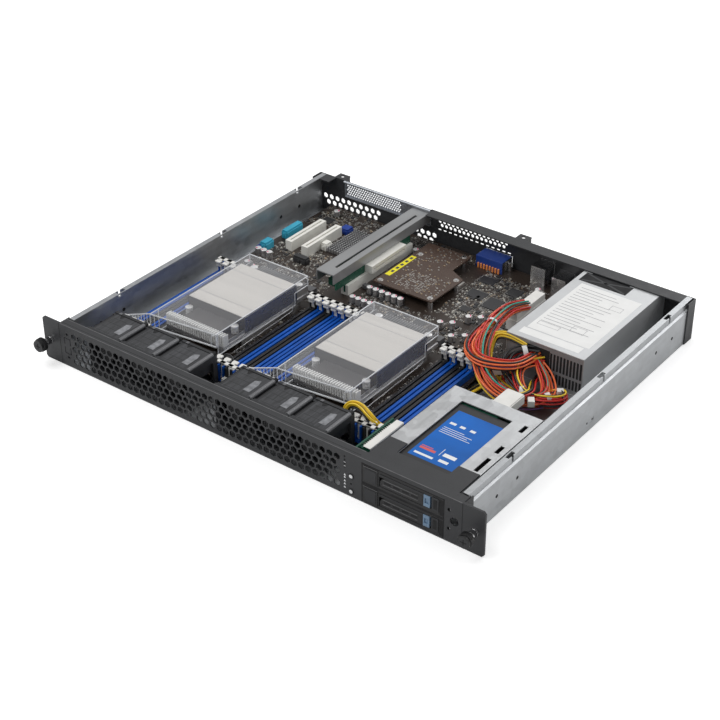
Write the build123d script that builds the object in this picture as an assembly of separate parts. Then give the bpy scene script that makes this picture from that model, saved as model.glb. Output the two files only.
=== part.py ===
"""One-unit rack server with its cover off, seen as it stands on a bench.

Frame: X to the right seen from the front, -Y out of the front, Z up. The origin is on the
underside, midway between the side walls, in the plane of the bezel's front face.
"""
from build123d import *
import math
import os

os.makedirs("parts", exist_ok=True)

# Sheet and clearances, millimetres
SHEET = 1.2
GAP = 0.3
FLOOR_TOP = SHEET

# What stands side by side between the walls, from left to right
BOARD_MARGIN = 14.0
FIRST_SLOT = 8.0
SLOT_PITCH = 9.0
SLOTS_IN_BANK = 4
SINK_WIDTH = 70.0
DUCT_CLEAR = 1.6
SLOT_TO_DUCT = 2.4
DUCT_TO_SLOT = 12.9
BANK_SPACE = 8.5
DUCT_TO_LAST_BANK = 14.4
LAST_SLOT = 7.0
CAGE_SPACE = 17.0
TRAY_INSET = 3.0
TRAY_WIDTH = 78.6
TRAY_TO_CAGE = 6.4
CAGE_TO_WALL = 11.0

DUCT_HALF = SINK_WIDTH / 2 + DUCT_CLEAR
BANK_WIDTH = (SLOTS_IN_BANK - 1) * SLOT_PITCH
BANK_TO_CPU = BANK_WIDTH + SLOT_TO_DUCT + DUCT_HALF
FIRST_BANK = BOARD_MARGIN + FIRST_SLOT
LEFT_CPU = FIRST_BANK + BANK_TO_CPU
SECOND_BANK = LEFT_CPU + DUCT_HALF + DUCT_TO_SLOT
THIRD_BANK = SECOND_BANK + BANK_WIDTH + BANK_SPACE
RIGHT_CPU = THIRD_BANK + BANK_TO_CPU
LAST_BANK = RIGHT_CPU + DUCT_HALF + DUCT_TO_LAST_BANK
BOARD_END = LAST_BANK + BANK_WIDTH + LAST_SLOT
CAGE_START = BOARD_END + CAGE_SPACE
CAGE_WIDTH = TRAY_INSET + TRAY_WIDTH + TRAY_TO_CAGE
HALF_WIDTH = (CAGE_START + CAGE_WIDTH + CAGE_TO_WALL) / 2

BOARD_X = (BOARD_MARGIN - HALF_WIDTH, BOARD_END - HALF_WIDTH)
BOARD_LEFT = BOARD_X[0]
CPU_X = (LEFT_CPU - HALF_WIDTH, RIGHT_CPU - HALF_WIDTH)
BANK_X = {
    "a": FIRST_BANK - HALF_WIDTH,
    "b": SECOND_BANK - HALF_WIDTH,
    "c": THIRD_BANK - HALF_WIDTH,
    "d": LAST_BANK - HALF_WIDTH,
}
CAGE_X = (CAGE_START - HALF_WIDTH, CAGE_START + CAGE_WIDTH - HALF_WIDTH)

# What stands one behind the other, from the bezel to the rear wall
FAN = 40.0
FAN_LENGTH = 38.0
FAN_Y = 11.0
FAN_TO_BOARD = 8.0
MODULE_LENGTH = 133.4
SLOT_BEHIND_EDGE = 4.3
CPU_BEHIND_SLOTS = 27.0
SINK_REACH = (71.0, 53.0)
DUCT_SHORT = 2.0
DUCT_TO_CARDS = 16.0
CARD_DEPTH = 162.0

BOARD_FRONT = FAN_Y + FAN_LENGTH + FAN_TO_BOARD
SLOT_CENTRE_Y = BOARD_FRONT + SLOT_BEHIND_EDGE + MODULE_LENGTH / 2
CPU_Y = SLOT_CENTRE_Y + CPU_BEHIND_SLOTS
SINK_Y = (CPU_Y - SINK_REACH[0], CPU_Y + SINK_REACH[1])
DUCT_END_Y = SINK_Y[1] - DUCT_SHORT
CARDS_Y = DUCT_END_Y + DUCT_TO_CARDS
DEPTH = CARDS_Y + CARD_DEPTH
BOARD_Y = (BOARD_FRONT, DEPTH - 1.0)

# Heights
TRAY_FRONT_HEIGHT = 17.4
CAGE_SHELF = 0.7
CAGE_SHELF_Z = FLOOR_TOP + GAP + TRAY_FRONT_HEIGHT + 1.3
CAGE_TOP = CAGE_SHELF_Z + CAGE_SHELF + GAP + TRAY_FRONT_HEIGHT + 1.4
PSU_HEIGHT = 40.5
HEIGHT = max(FLOOR_TOP + FAN + 2.1, CAGE_TOP + 3.3, FLOOR_TOP + PSU_HEIGHT + 1.6)
BOARD_TOP = 9.0
BOARD_T = 1.6
BOARD_BOTTOM = BOARD_TOP - BOARD_T

# Chassis tray
SEAM_Z = 35.5
SEAM_RISE = 1.0
SEAM_INSET = 2.0
WALL_TOP_X = HALF_WIDTH - SEAM_INSET
FLANGE = 5.5
KEYHOLE_Y = (75.0, 220.0, DEPTH - 44.0)
KEYHOLE_LENGTH = 10.0
KEYHOLE_WIDTH = 3.6
KEYHOLE_INSET = 1.0
KEYHOLE_SLOT = 3.0
KEYHOLE_DROP = 6.5
RAIL_HOLE_CENTRE_Y = 197.5
RAIL_HOLE_OUTER = 295.0
RAIL_HOLE_INNER = 234.0
RAIL_HOLE_Z = 19.5
RAIL_HOLE_R = 2.0
RAIL_SLOT_Z = 9.5
RAIL_SLOT = (14.0, 4.0)

# Front bezel
BEZEL_RETURN = 12.0
BEZEL_LIP = 10.0
VENT_PITCH = 7.5
VENT_ROW_STEP = 6.6
VENT_FLATS = 6.0
VENT_COLUMNS = 41
VENT_ROWS = 5
VENT_CENTRE_X = 168.0 - HALF_WIDTH
VENT_CENTRE_Z = HEIGHT / 2 - 0.35
LAMP_X = CAGE_X[0] - 15.0
LAMP_Z = (38.0, 34.6, 30.8, 27.5)
LAMP_R = 1.0
BUTTON_X = CAGE_X[0] - 8.5
POWER_Z = 20.7
LOCATE_Z = 5.4
BUTTON_R = 2.6
BUTTON_LENGTH = 8.6
BUTTON_PROUD = 0.5
RESET_Z = 13.0
RESET_R = 0.8
SERIAL_X = 9.0 - HALF_WIDTH
SERIAL_Z = 22.0
SERIAL_SIZE = (8.0, 17.0)
SERIAL_SLIT = 0.8
SERIAL_BRIDGE = 2.4
SERIAL_SCREW_STEP = 24.5
SERIAL_SCREW_R = 1.5
STRIP_X = HALF_WIDTH - 12.0
STRIP_HOLE_Z = (31.5, 13.2)
STRIP_HOLE_R = 1.6
STRIP_RECESS_X = HALF_WIDTH - 7.0
STRIP_RECESS_R = 4.0

# Rack ears and their captive screws
EAR_WIDTH = 20.1
EAR_HEIGHT = HEIGHT + 0.4
EAR_PLATE = 2.0
EAR_CHAMFER = 2.0
EAR_RETURN = 14.0
RACK_HOLE_X = HALF_WIDTH + 12.55
RACK_HOLE_Z = 21.8
SLEEVE_R = 3.6
SLEEVE_PROUD = 5.6
SLEEVE_BEHIND = 1.5
SCREW_R = 2.0
SCREW_CLEARANCE = 0.05
THREAD_R = SCREW_R + 0.5
THREAD_GAP = 0.6
THREAD_LENGTH = 4.9
SCREW_TAIL = EAR_PLATE + SLEEVE_BEHIND + THREAD_GAP + THREAD_LENGTH
KNOB_R = 6.6
KNOB_LENGTH = 10.7
KNOB_GAP = 0.6
KNOB_FLUTES = 8
FLUTE_R = 0.5
CROSS = (1.2, 5.0)
CROSS_DEPTH = 2.0

# Fans
FAN_PITCH = FAN + 1.0
FAN_LEFT_X = 45.0 - HALF_WIDTH
FAN_RIGHT_X = FAN_LEFT_X + 152.0
FAN_BORE_R = FAN / 2 - 1.8
FAN_SIDES = 16
FAN_HUB_R = 9.0
FAN_HUB_SIDES = 10
FAN_MOTOR_PLATE = 3.0
FAN_MOTOR_INSET = 0.5
FAN_STRUT = 2.2
FAN_STRUT_ROOT = 0.6
FAN_BLADES = 5
FAN_BLADE = (7.4, 15.0, 1.2)
FAN_BLADE_ANGLE = 38.0
FAN_BLADE_ROOT = 0.6
FAN_HUB_INSET = 2.0
FAN_WAIST = 2.6
FAN_WAIST_LEFT = 0.9
FAN_WAIST_TOP = 3.4
FAN_WAIST_MARGIN = 6.0
FAN_RIM = 5.5

# Main board, processors and coolers
STUD_R = 3.0
STUD_X = (BOARD_LEFT + 10.0, BOARD_LEFT + 156.0, BOARD_X[1] - 8.0)
STUD_Y = (BOARD_FRONT + 15.0, CARDS_Y, BOARD_Y[1] - 9.0)
SOCKET = (62.0, 84.0, 4.5)
PROCESSOR = (45.0, 52.5, 3.5)
SINK_BASE = 4.0
SINK_BOTTOM = BOARD_TOP + SOCKET[2] + PROCESSOR[2]
SINK_TOP = SINK_BOTTOM + 21.0
SINK_SHOULDER_TOP = SINK_TOP - 6.0
SINK_PLATE_Y = (SINK_Y[0] + 31.0, SINK_Y[1] - 18.0)
SINK_PLATE_T = 0.8
SINK_FINS = 15
SINK_FIN_T = 0.9
SINK_SCREW_DX = 28.0
SINK_SCREW_DY = 47.0
SINK_SCREW_R = 2.4
SINK_SCREW_HEAD_R = 3.8
SINK_SCREW_TOP = SINK_TOP - 7.0
SINK_SCREW_CLEAR = 4.6

# Memory slots
SLOT_WIDTH = 7.2
SLOT_BODY_TOP = BOARD_TOP + 7.0
SLOT_END = 1.0
TOWER_TOP = BOARD_TOP + 18.0
TOWER_LENGTH = 7.6
TOWER_FLOOR = 2.5
LATCH_WIDTH = 3.6
LATCH_THICK = 4.0
LATCH_TOP = TOWER_TOP + 2.0
LATCH_PIVOT_Z = BOARD_TOP + 5.5
LATCH_FOOT = 0.7
LATCH_NOSE = 2.2
LATCH_NOSE_Z = (5.0, 3.0)
LATCH_SIDE_GAP = 0.3
LATCH_END_GAP = LATCH_SIDE_GAP + 0.4
KEY_SLOT = (1.8, 4.0)
BANK_COLOURS = {"a": "bkbk", "b": "kbkb", "c": "bkbk", "d": "kbkb"}

# Clear air ducts
DUCT_ROOF_TOP = SINK_TOP + 3.0
DUCT_T = 1.0
DUCT_FRONT_Y = (BOARD_FRONT + 7.0, BOARD_FRONT + 16.0)
DUCT_WING = 34.0
DUCT_FRONT_LOW = 27.0
DUCT_SKIRT_Y = (DUCT_FRONT_Y[1] + 2.0, DUCT_END_Y - 20.0)
DUCT_SKIRT_LOW = SINK_BOTTOM + 0.5
DUCT_SKIRT_HIGH = 30.5

# Expansion riser and card slots
CARD_SLOT_X = (BOARD_LEFT + 27.0, BOARD_LEFT + 47.5)
CARD_SLOT_Y = (CARDS_Y + 56.0, CARDS_Y + 113.0)
CARD_SLOT = (8.0, 11.0)
CARD_GROOVE = (1.8, 4.0, 3.0)
RISER_CARD_X = BOARD_LEFT + 126.2
RISER_CARD_Y = (CARDS_Y + 6.0, DEPTH - 34.0)
RISER_CARD_Z = (BOARD_TOP + 3.0, 38.0)
RISER_CARD_T = 1.6
RISER_SOCKET_Y = (CARDS_Y + 20.0, DEPTH - 34.0)
RISER_SOCKET = (4.2, BOARD_TOP + 11.0)
RISER_LEFT_SLOT = (11.0, (4.0, 93.0), (21.0, 28.5))
RISER_RIGHT_SLOT = (9.0, (52.0, 109.0), (20.5, 28.5))
RISER_RIGHT_GROOVE = (5.5, 3.0, (23.6, 25.4))
BRACKET_X = (RISER_CARD_X - 18.7, RISER_CARD_X + 2.3)
BRACKET_Y = (CARDS_Y, DEPTH - GAP)
BRACKET_TOP = 40.0
BRACKET_LOW = (28.0, 29.5)
BRACKET_SLOT_X = RISER_CARD_X - 5.5
BRACKET_SLOT = (3.0, 14.0)

# Board furniture: limits from the board's left edge and from the card area's front
HEADERS = [
    ((4.0, 10.0), (74.0, 99.0), 7.0),
    ((2.0, 9.0), (41.0, 53.0), 7.0),
    ((45.0, 60.0), (42.0, 48.0), 5.0),
    ((52.2, 58.8), (78.0, 86.0), 6.0),
    ((46.0, 55.0), (118.0, 127.0), 4.0),
]
CHIPSET_X = (60.0, 94.0)
CHIPSET_Y = (76.0, 126.0)
CHIPSET_HEIGHT = 5.0
CHIPSET_GROOVE_DEPTH = 2.5
CHIPSET_ACROSS = (7, 1.6)
CHIPSET_ALONG = (4, 1.8)
CARD_Z = BOARD_TOP + 9.0
CARD_OUTLINE = [(143, 44), (212, 44), (213, 97), (193.5, 107), (193.5, 140), (143, 139)]
CARD_CHIP = ((166.0, 194.0), (54.0, 82.0), 2.2)
CARD_SOCKET = ((148.0, 154.0), (100.0, 134.0))
CARD_PILLARS = [(148, 49), (207, 49), (208, 92), (188.5, 135)]
CARD_PILLAR_R = 2.6
CHOKE_ROW = (6, 136.0, 8.2, (6.4, 4.8), (40.0, 4.0))
COIL_ROW = (5, -26.0, 12.6, (9.2, 9.0), (-3.0, 6.0))

# Rear panel
SLOT_X = (BOARD_LEFT + 17.5, BOARD_LEFT + 129.0)
SLOT_Z = 24.0
COVER_RAIL = 3.0
COVER_HOLE = (4.8, 4.4)
COVER_WEB = 2.4
COVER_HOLE_Z = (27.6, 34.0)
COVER_HOLE_COUNT = 10
REAR_FLANGE = 13.0
REAR_FLANGE_X = (BOARD_LEFT + 131.0, BOARD_LEFT + 6.5)
REAR_VENT_X = (BOARD_LEFT + 140.0, BOARD_LEFT + 220.0)
REAR_VENT_COUNT = 16
REAR_VENT_Z = (33.5, 29.3)
REAR_VENT_R = 2.1
OVAL_Z = 24.0
OVAL = (4.0, 1.8)
OVAL_COUNT = 14
OVAL_X = (BOARD_LEFT + 140.0, BOARD_LEFT + 224.0)
SIDE_VENT_X = (BOARD_LEFT - 8.0, BOARD_LEFT + 62.0)
SIDE_VENT_COUNT = 10
SIDE_VENT_Z = (18.2, 11.6)
SIDE_VENT_R = 3.1
CARD_VENT_X = (BOARD_LEFT + 111.0, BOARD_LEFT + 133.5)
CARD_VENT_COUNT = 4
CARD_VENT_Z = (15.0, 8.5)
TAB_X = (BOARD_LEFT + 10.5, BOARD_LEFT + 236.0)
TAB_WIDTH = 13.0
TAB_REACH = 10.0
TAB_HOLE_R = 2.1

# Rear sockets
PORT_Y = DEPTH - 18.0
VGA_X = (BOARD_LEFT + 197.0, BOARD_LEFT + 228.0)
VGA_TOP = BOARD_TOP + 12.5
VGA_SHELL = (17.0, 8.4)
VGA_SHELL_LENGTH = 5.0
VGA_SHELL_WALL = 1.0
LAN_X = (BOARD_LEFT + 260.6, BOARD_LEFT + 276.4)
LAN_TOP = BOARD_TOP + 22.0
USB_X = (BOARD_LEFT + 284.4, BOARD_LEFT + 299.6)
USB_TOP = BOARD_TOP + 17.0
PORT_PROUD = 1.6
PORT_WALL = 1.6
RJ_CAVITY = (11.8, 8.4)
USB_CAVITY = (13.0, 5.6)
CAVITY_DEPTH = 13.0

# Power supply
PSU_X = (BOARD_X[1] + 6.5, BOARD_X[1] + 86.5)
PSU_Y = DEPTH - 150.0
PSU_FRAME = (3.0, 2.0)
PSU_FAN_X = PSU_X[0] + 29.0
PSU_FAN_LENGTH = 14.6
PSU_SLOT = (1.8, 1.5)
PSU_SLOT_PITCH = 3.4
PSU_SLOT_COUNT = 10
PSU_SLOT_X = PSU_X[0] + 47.0
PSU_SLOT_LONG = (19.0, 36.0)
PSU_SLOT_SHORT = (6.0, 16.0)
INLET_X = PSU_X[0] + 65.0
INLET_Z = 19.0
INLET = (24.0, 16.4, 15.0)

# Drive cage, trays and drives
DRIVE = (69.85, 100.3, 7.0)
DRIVE_Y = 18.0
DRIVE_LIFT = 9.6
CAGE_SKIN = 1.0
CAGE_WINDOW_X = (CAGE_X[0] + 17.9, CAGE_X[0] + 68.0)
CAGE_WINDOW_Y = (26.5, 120.0)
CAGE_SLOT_X = CAGE_X[0] + 81.5
CAGE_SLOT_WIDTH = 4.0
CAGE_SLOT_Y = ((44.0, 65.0), (74.0, 85.0), (110.0, 121.0))
BEZEL_TONGUE_Y = 41.0
BACKPLANE_T = 1.6
BACKPLANE_Y = DRIVE_Y + DRIVE[1] + 12.7
BACKPLANE_X = (CAGE_X[0] + 9.0, CAGE_X[0] + 82.0)
BACKPLANE_TOP = CAGE_TOP - 2.0
CAGE_END_Y = BACKPLANE_Y + 5.0
POWER_SOCKET = ((29.0, 49.0), 18.0, (20.5, 29.5))
DATA_SOCKET = ((8.5, 18.0), 16.0, (20.5, 28.5))
DRIVE_SOCKET = (4.0, 46.0)
DRIVE_PLUG = ((30.0, 48.0), 23.0, (21.0, 29.0))
TRAY_X = (CAGE_X[0] + TRAY_INSET, CAGE_X[0] + TRAY_INSET + TRAY_WIDTH)
TRAY_FRONT_DEPTH = 12.0
TRAY_LENGTH = BACKPLANE_Y - 5.0
TRAY_RAIL = 2.4
TRAY_RAIL_HEIGHT = 14.0
TRAY_FLOOR = 1.0
TRAY_FLOOR_LENGTH = 20.0
LEVER_X = (TRAY_X[0] + 17.0, TRAY_X[0] + 58.4)
LEVER_Z = (2.6, 11.6)
LEVER_T = 3.0
LEVER_PIVOT_R = 1.6
LEVER_SLOTS = 3
LEVER_SLOT = (8.0, 2.4)
LEVER_SLOT_PITCH = 11.0
LEVER_SLOT_START = 9.0
LATCH_X = (TRAY_X[0] + 60.0, TRAY_X[0] + 66.0)
LATCH_Z = (3.6, 14.6)
LATCH_PROUD = 0.4
LATCH_DIMPLE = (1.0, 3.0, 0.6)
LATCH_TRAVEL = 1.5

# Front control board
CONTROL_X = CAGE_X[0] - 16.1
CONTROL_T = 1.6
CONTROL_Y = (9.4, 67.0)
CONTROL_TOP = CAGE_TOP - 2.0
SWITCH_DEPTH = 4.0
SWITCH_MARGIN = (1.5, 3.0)
SHROUD_X = (CONTROL_X + 4.7, CONTROL_X + 11.7)
SHROUD_Y = (20.0, 66.8)
SHROUD_Z = (27.0, 37.8)
SHROUD_WEB = (33.0, 36.0)

# Board power socket and its plug
POWER_X = (BOARD_X[1] - 24.5, BOARD_X[1] - 13.0)
POWER_Y = (CARDS_Y + 61.0, CARDS_Y + 113.0)
POWER_TOP = BOARD_TOP + 11.0
PLUG_INSET = (0.5, 1.0)
PLUG_HEIGHT = 7.0

# Cables
LOOM_SIDES = 6
LOOM_D = 8.0
LOOM_ROUTE = [
    (143.0, 234.0, 30.0),
    (143.0, 211.0, 30.0),
    (130.0, 193.0, 34.0),
    (111.0, 186.0, 35.0),
    (94.0, 197.0, 36.0),
    (87.5, 219.0, 37.0),
    (86.5, 248.0, 37.0),
    (85.5, 276.0, 35.0),
    (85.3, 296.0, 27.0),
]
DRIVE_LOOM_D = 6.0
DRIVE_LOOM_ROUTE = [
    (152.0, 234.0, 15.0),
    (152.0, 215.0, 15.0),
    (159.0, 200.0, 19.0),
    (165.0, 187.0, 22.0),
    (160.0, 172.0, 25.0),
]


def block(x, y, z):
    """A box between pairs of limits along each axis."""
    size = (x[1] - x[0], y[1] - y[0], z[1] - z[0])
    centre = ((x[0] + x[1]) / 2, (y[0] + y[1]) / 2, (z[0] + z[1]) / 2)
    return Pos(*centre) * Box(*size)


def prism_x(points, x0, x1):
    """A (y, z) outline carried from x0 to x1."""
    outline = Plane.YZ * Polygon(*points, align=None)
    return Pos(x0, 0, 0) * extrude(outline, amount=x1 - x0, dir=(1, 0, 0))


def prism_y(points, y0, y1):
    """An (x, z) outline carried from y0 to y1."""
    outline = Plane.XZ * Polygon(*points, align=None)
    return Pos(0, y0, 0) * extrude(outline, amount=y1 - y0, dir=(0, 1, 0))


def prism_z(points, z0, z1):
    """An (x, y) outline carried from z0 to z1."""
    outline = Polygon(*points, align=None)
    return Pos(0, 0, z0) * extrude(outline, amount=z1 - z0, dir=(0, 0, 1))


def disc_x(radius, x, y, z):
    """A round bar along X between two limits."""
    return Pos((x[0] + x[1]) / 2, y, z) * Rot(0, 90, 0) * Cylinder(radius, x[1] - x[0])


def disc_y(radius, x, y, z):
    """A round bar along Y between two limits."""
    return Pos(x, (y[0] + y[1]) / 2, z) * Rot(90, 0, 0) * Cylinder(radius, y[1] - y[0])


def disc_z(radius, x, y, z):
    """A round bar along Z between two limits."""
    return Pos(x, y, (z[0] + z[1]) / 2) * Cylinder(radius, z[1] - z[0])


def ngon_y(radius, sides, x, y, z):
    """A regular prism along Y between two limits."""
    outline = Plane.XZ * Pos(x, z) * RegularPolygon(radius, sides)
    return Pos(0, y[0], 0) * extrude(outline, amount=y[1] - y[0], dir=(0, 1, 0))


def ngon_z(radius, sides, x, y, z):
    """A regular prism along Z between two limits."""
    return Pos(x, y, z[0]) * extrude(RegularPolygon(radius, sides), amount=z[1] - z[0])


def flipped(shape):
    """The mirror image across the centre plane."""
    return mirror(shape, about=Plane.YZ)


def save(name, *solids):
    """Write one node, as a single solid or a group of separate ones."""
    shape = solids[0] if len(solids) == 1 else Compound(children=list(solids))
    export_step(shape, f"parts/{name}.step")


# Chassis

def chassis_tray():
    """Folded tray: floor, side walls with a joggled seam, top flanges, studs and rail holes."""
    top_x = WALL_TOP_X
    seam_top = SEAM_Z + SEAM_RISE
    half = [
        (HALF_WIDTH, 0),
        (HALF_WIDTH, SEAM_Z),
        (top_x, seam_top),
        (top_x, HEIGHT),
        (top_x - FLANGE, HEIGHT),
        (top_x - FLANGE, HEIGHT - SHEET),
        (top_x - SHEET, HEIGHT - SHEET),
        (top_x - SHEET, seam_top - SHEET / 2),
        (HALF_WIDTH - SHEET, SEAM_Z - SHEET / 2),
        (HALF_WIDTH - SHEET, SHEET),
    ]
    other = [(-x, z) for x, z in reversed(half)]
    tray = prism_y(half + other, BEZEL_RETURN, DEPTH)
    inner = HALF_WIDTH - SHEET
    tray += block((-inner, inner), (SHEET, BEZEL_RETURN), (0, SHEET))
    for x in STUD_X:
        for y in STUD_Y:
            tray += ngon_z(STUD_R, 6, x, y, (SHEET / 2, BOARD_BOTTOM))
    cuts = []
    for y in KEYHOLE_Y:
        inside = top_x - FLANGE + KEYHOLE_INSET
        mouth_y = (y - KEYHOLE_LENGTH / 2, y + KEYHOLE_LENGTH / 2)
        slot_y = (y - KEYHOLE_SLOT / 2, y + KEYHOLE_SLOT / 2)
        mouth = block((inside, inside + KEYHOLE_WIDTH), mouth_y, (HEIGHT - 2 * SHEET, HEIGHT + 1))
        slot_x = (inside + KEYHOLE_WIDTH / 2, top_x + 1)
        slot = block(slot_x, slot_y, (HEIGHT - KEYHOLE_DROP, HEIGHT + 1))
        cuts += [mouth, slot]
    through = (HALF_WIDTH - 2 * SHEET, HALF_WIDTH + 1)
    for spread in (RAIL_HOLE_OUTER, RAIL_HOLE_INNER):
        for side in (-1, 1):
            y = RAIL_HOLE_CENTRE_Y + side * spread / 2
            cuts.append(disc_x(RAIL_HOLE_R, through, y, RAIL_HOLE_Z))
    slot_y = (RAIL_HOLE_CENTRE_Y - RAIL_SLOT[0] / 2, RAIL_HOLE_CENTRE_Y + RAIL_SLOT[0] / 2)
    slot_z = (RAIL_SLOT_Z - RAIL_SLOT[1] / 2, RAIL_SLOT_Z + RAIL_SLOT[1] / 2)
    cuts.append(block(through, slot_y, slot_z))
    cuts += [flipped(cut) for cut in cuts]
    return tray - cuts


def vent_rows():
    """Centres of the staggered hexagonal holes."""
    places = []
    for row in range(VENT_ROWS):
        count = VENT_COLUMNS - row % 2
        start = VENT_CENTRE_X - (count - 1) * VENT_PITCH / 2
        z = VENT_CENTRE_Z + (row - (VENT_ROWS - 1) / 2) * VENT_ROW_STEP
        places += [(start + i * VENT_PITCH, z) for i in range(count)]
    return places


def drive_opening():
    """Limits of the bezel opening that the two trays slide through."""
    x = (TRAY_X[0] - GAP, TRAY_X[1] + GAP)
    z = (FLOOR_TOP, tray_base(1) + TRAY_FRONT_HEIGHT + GAP)
    return x, z


def front_bezel():
    """Front panel with the vent, button and drive openings, folded back along three sides."""
    hexagon_r = VENT_FLATS / math.sqrt(3)
    centre_z = HEIGHT / 2
    face = Pos(0, centre_z) * Rectangle(2 * HALF_WIDTH, HEIGHT)
    holes = [Pos(x, z) * RegularPolygon(hexagon_r, 6, rotation=30) for x, z in vent_rows()]
    holes += [Pos(LAMP_X, z) * Circle(LAMP_R) for z in LAMP_Z]
    holes += [Pos(BUTTON_X, z) * Circle(BUTTON_R + GAP) for z in (POWER_Z, LOCATE_Z)]
    holes.append(Pos(BUTTON_X, RESET_Z) * Circle(RESET_R))
    x, z = drive_opening()
    bay = Rectangle(x[1] - x[0], z[1] - z[0])
    holes.append(Pos((x[0] + x[1]) / 2, (z[0] + z[1]) / 2) * bay)
    for step in (-0.5, 0.5):
        holes.append(Pos(SERIAL_X, SERIAL_Z + step * SERIAL_SCREW_STEP) * Circle(SERIAL_SCREW_R))
    holes += [Pos(STRIP_X, z) * Circle(STRIP_HOLE_R) for z in STRIP_HOLE_Z]
    holes.append(Pos(STRIP_RECESS_X, SERIAL_Z) * Circle(STRIP_RECESS_R))
    panel = extrude(Plane.XZ * (face - holes), amount=SHEET, dir=(0, 1, 0))
    panel -= serial_knockout()
    side = block((HALF_WIDTH - SHEET, HALF_WIDTH), (SHEET, BEZEL_RETURN), (0, HEIGHT))
    lip = block((-HALF_WIDTH, HALF_WIDTH), (SHEET, BEZEL_LIP), (HEIGHT - SHEET, HEIGHT))
    step = block(CAGE_X, (BEZEL_LIP - SHEET, BEZEL_LIP), (CAGE_TOP, HEIGHT))
    tongue = block(CAGE_X, (BEZEL_LIP, BEZEL_TONGUE_Y), (CAGE_TOP, CAGE_TOP + SHEET))
    tongue -= block(CAGE_WINDOW_X, CAGE_WINDOW_Y, (CAGE_TOP - 1, HEIGHT))
    return panel + [side, flipped(side), lip, step, tongue]


def serial_knockout():
    """Narrow slits round the blank for a serial port, left joined by two bridges."""
    width, height = SERIAL_SIZE
    outer = Rectangle(width, height)
    inner = Rectangle(width - 2 * SERIAL_SLIT, height - 2 * SERIAL_SLIT)
    bridge = Rectangle(width + 1, SERIAL_BRIDGE)
    ring = Pos(SERIAL_X, SERIAL_Z) * (outer - inner - bridge)
    return extrude(Plane.XZ * ring, amount=SHEET, dir=(0, 1, 0))


def ear():
    """Right-hand rack ear with its screw sleeve pressed in, as two solids."""
    x0 = HALF_WIDTH + SHEET
    x1 = x0 + EAR_WIDTH
    c = EAR_CHAMFER
    outline = [(HALF_WIDTH, 0), (x1 - c, 0), (x1, c)]
    outline += [(x1, EAR_HEIGHT - c), (x1 - c, EAR_HEIGHT), (HALF_WIDTH, EAR_HEIGHT)]
    plate = prism_y(outline, 0, EAR_PLATE)
    z = (SHEET, EAR_HEIGHT - SHEET)
    plate += block((HALF_WIDTH, x0), (EAR_PLATE, EAR_RETURN), z)
    plate -= disc_y(SLEEVE_R, RACK_HOLE_X, (-1, EAR_PLATE + 1), RACK_HOLE_Z)
    length = (-SLEEVE_PROUD, EAR_PLATE + SLEEVE_BEHIND)
    sleeve = disc_y(SLEEVE_R, RACK_HOLE_X, length, RACK_HOLE_Z)
    sleeve -= disc_y(SCREW_R + SCREW_CLEARANCE, RACK_HOLE_X, (-20, 20), RACK_HOLE_Z)
    return plate, sleeve


def thumbscrew():
    """Right-hand captive screw: fluted knob, cross recess and plain shank."""
    back = -SLEEVE_PROUD - KNOB_GAP
    front = back - KNOB_LENGTH
    knob = ngon_y(KNOB_R, 2 * KNOB_FLUTES, RACK_HOLE_X, (front, back), RACK_HOLE_Z)
    for i in range(KNOB_FLUTES):
        angle = 2 * math.pi * i / KNOB_FLUTES
        x = RACK_HOLE_X + KNOB_R * math.cos(angle)
        z = RACK_HOLE_Z + KNOB_R * math.sin(angle)
        flute = ngon_y(FLUTE_R, 4, x, (front - 1, back - CROSS_DEPTH), z)
        knob -= flute
    sleeve_end = EAR_PLATE + SLEEVE_BEHIND
    shank = disc_y(SCREW_R, RACK_HOLE_X, (back, SCREW_TAIL), RACK_HOLE_Z)
    shank += disc_y(THREAD_R, RACK_HOLE_X, (sleeve_end + THREAD_GAP, SCREW_TAIL), RACK_HOLE_Z)
    for w, h in (CROSS, CROSS[::-1]):
        x = (RACK_HOLE_X - w / 2, RACK_HOLE_X + w / 2)
        z = (RACK_HOLE_Z - h / 2, RACK_HOLE_Z + h / 2)
        knob -= block(x, (front - 1, front + CROSS_DEPTH), z)
    return knob + shank


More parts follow.
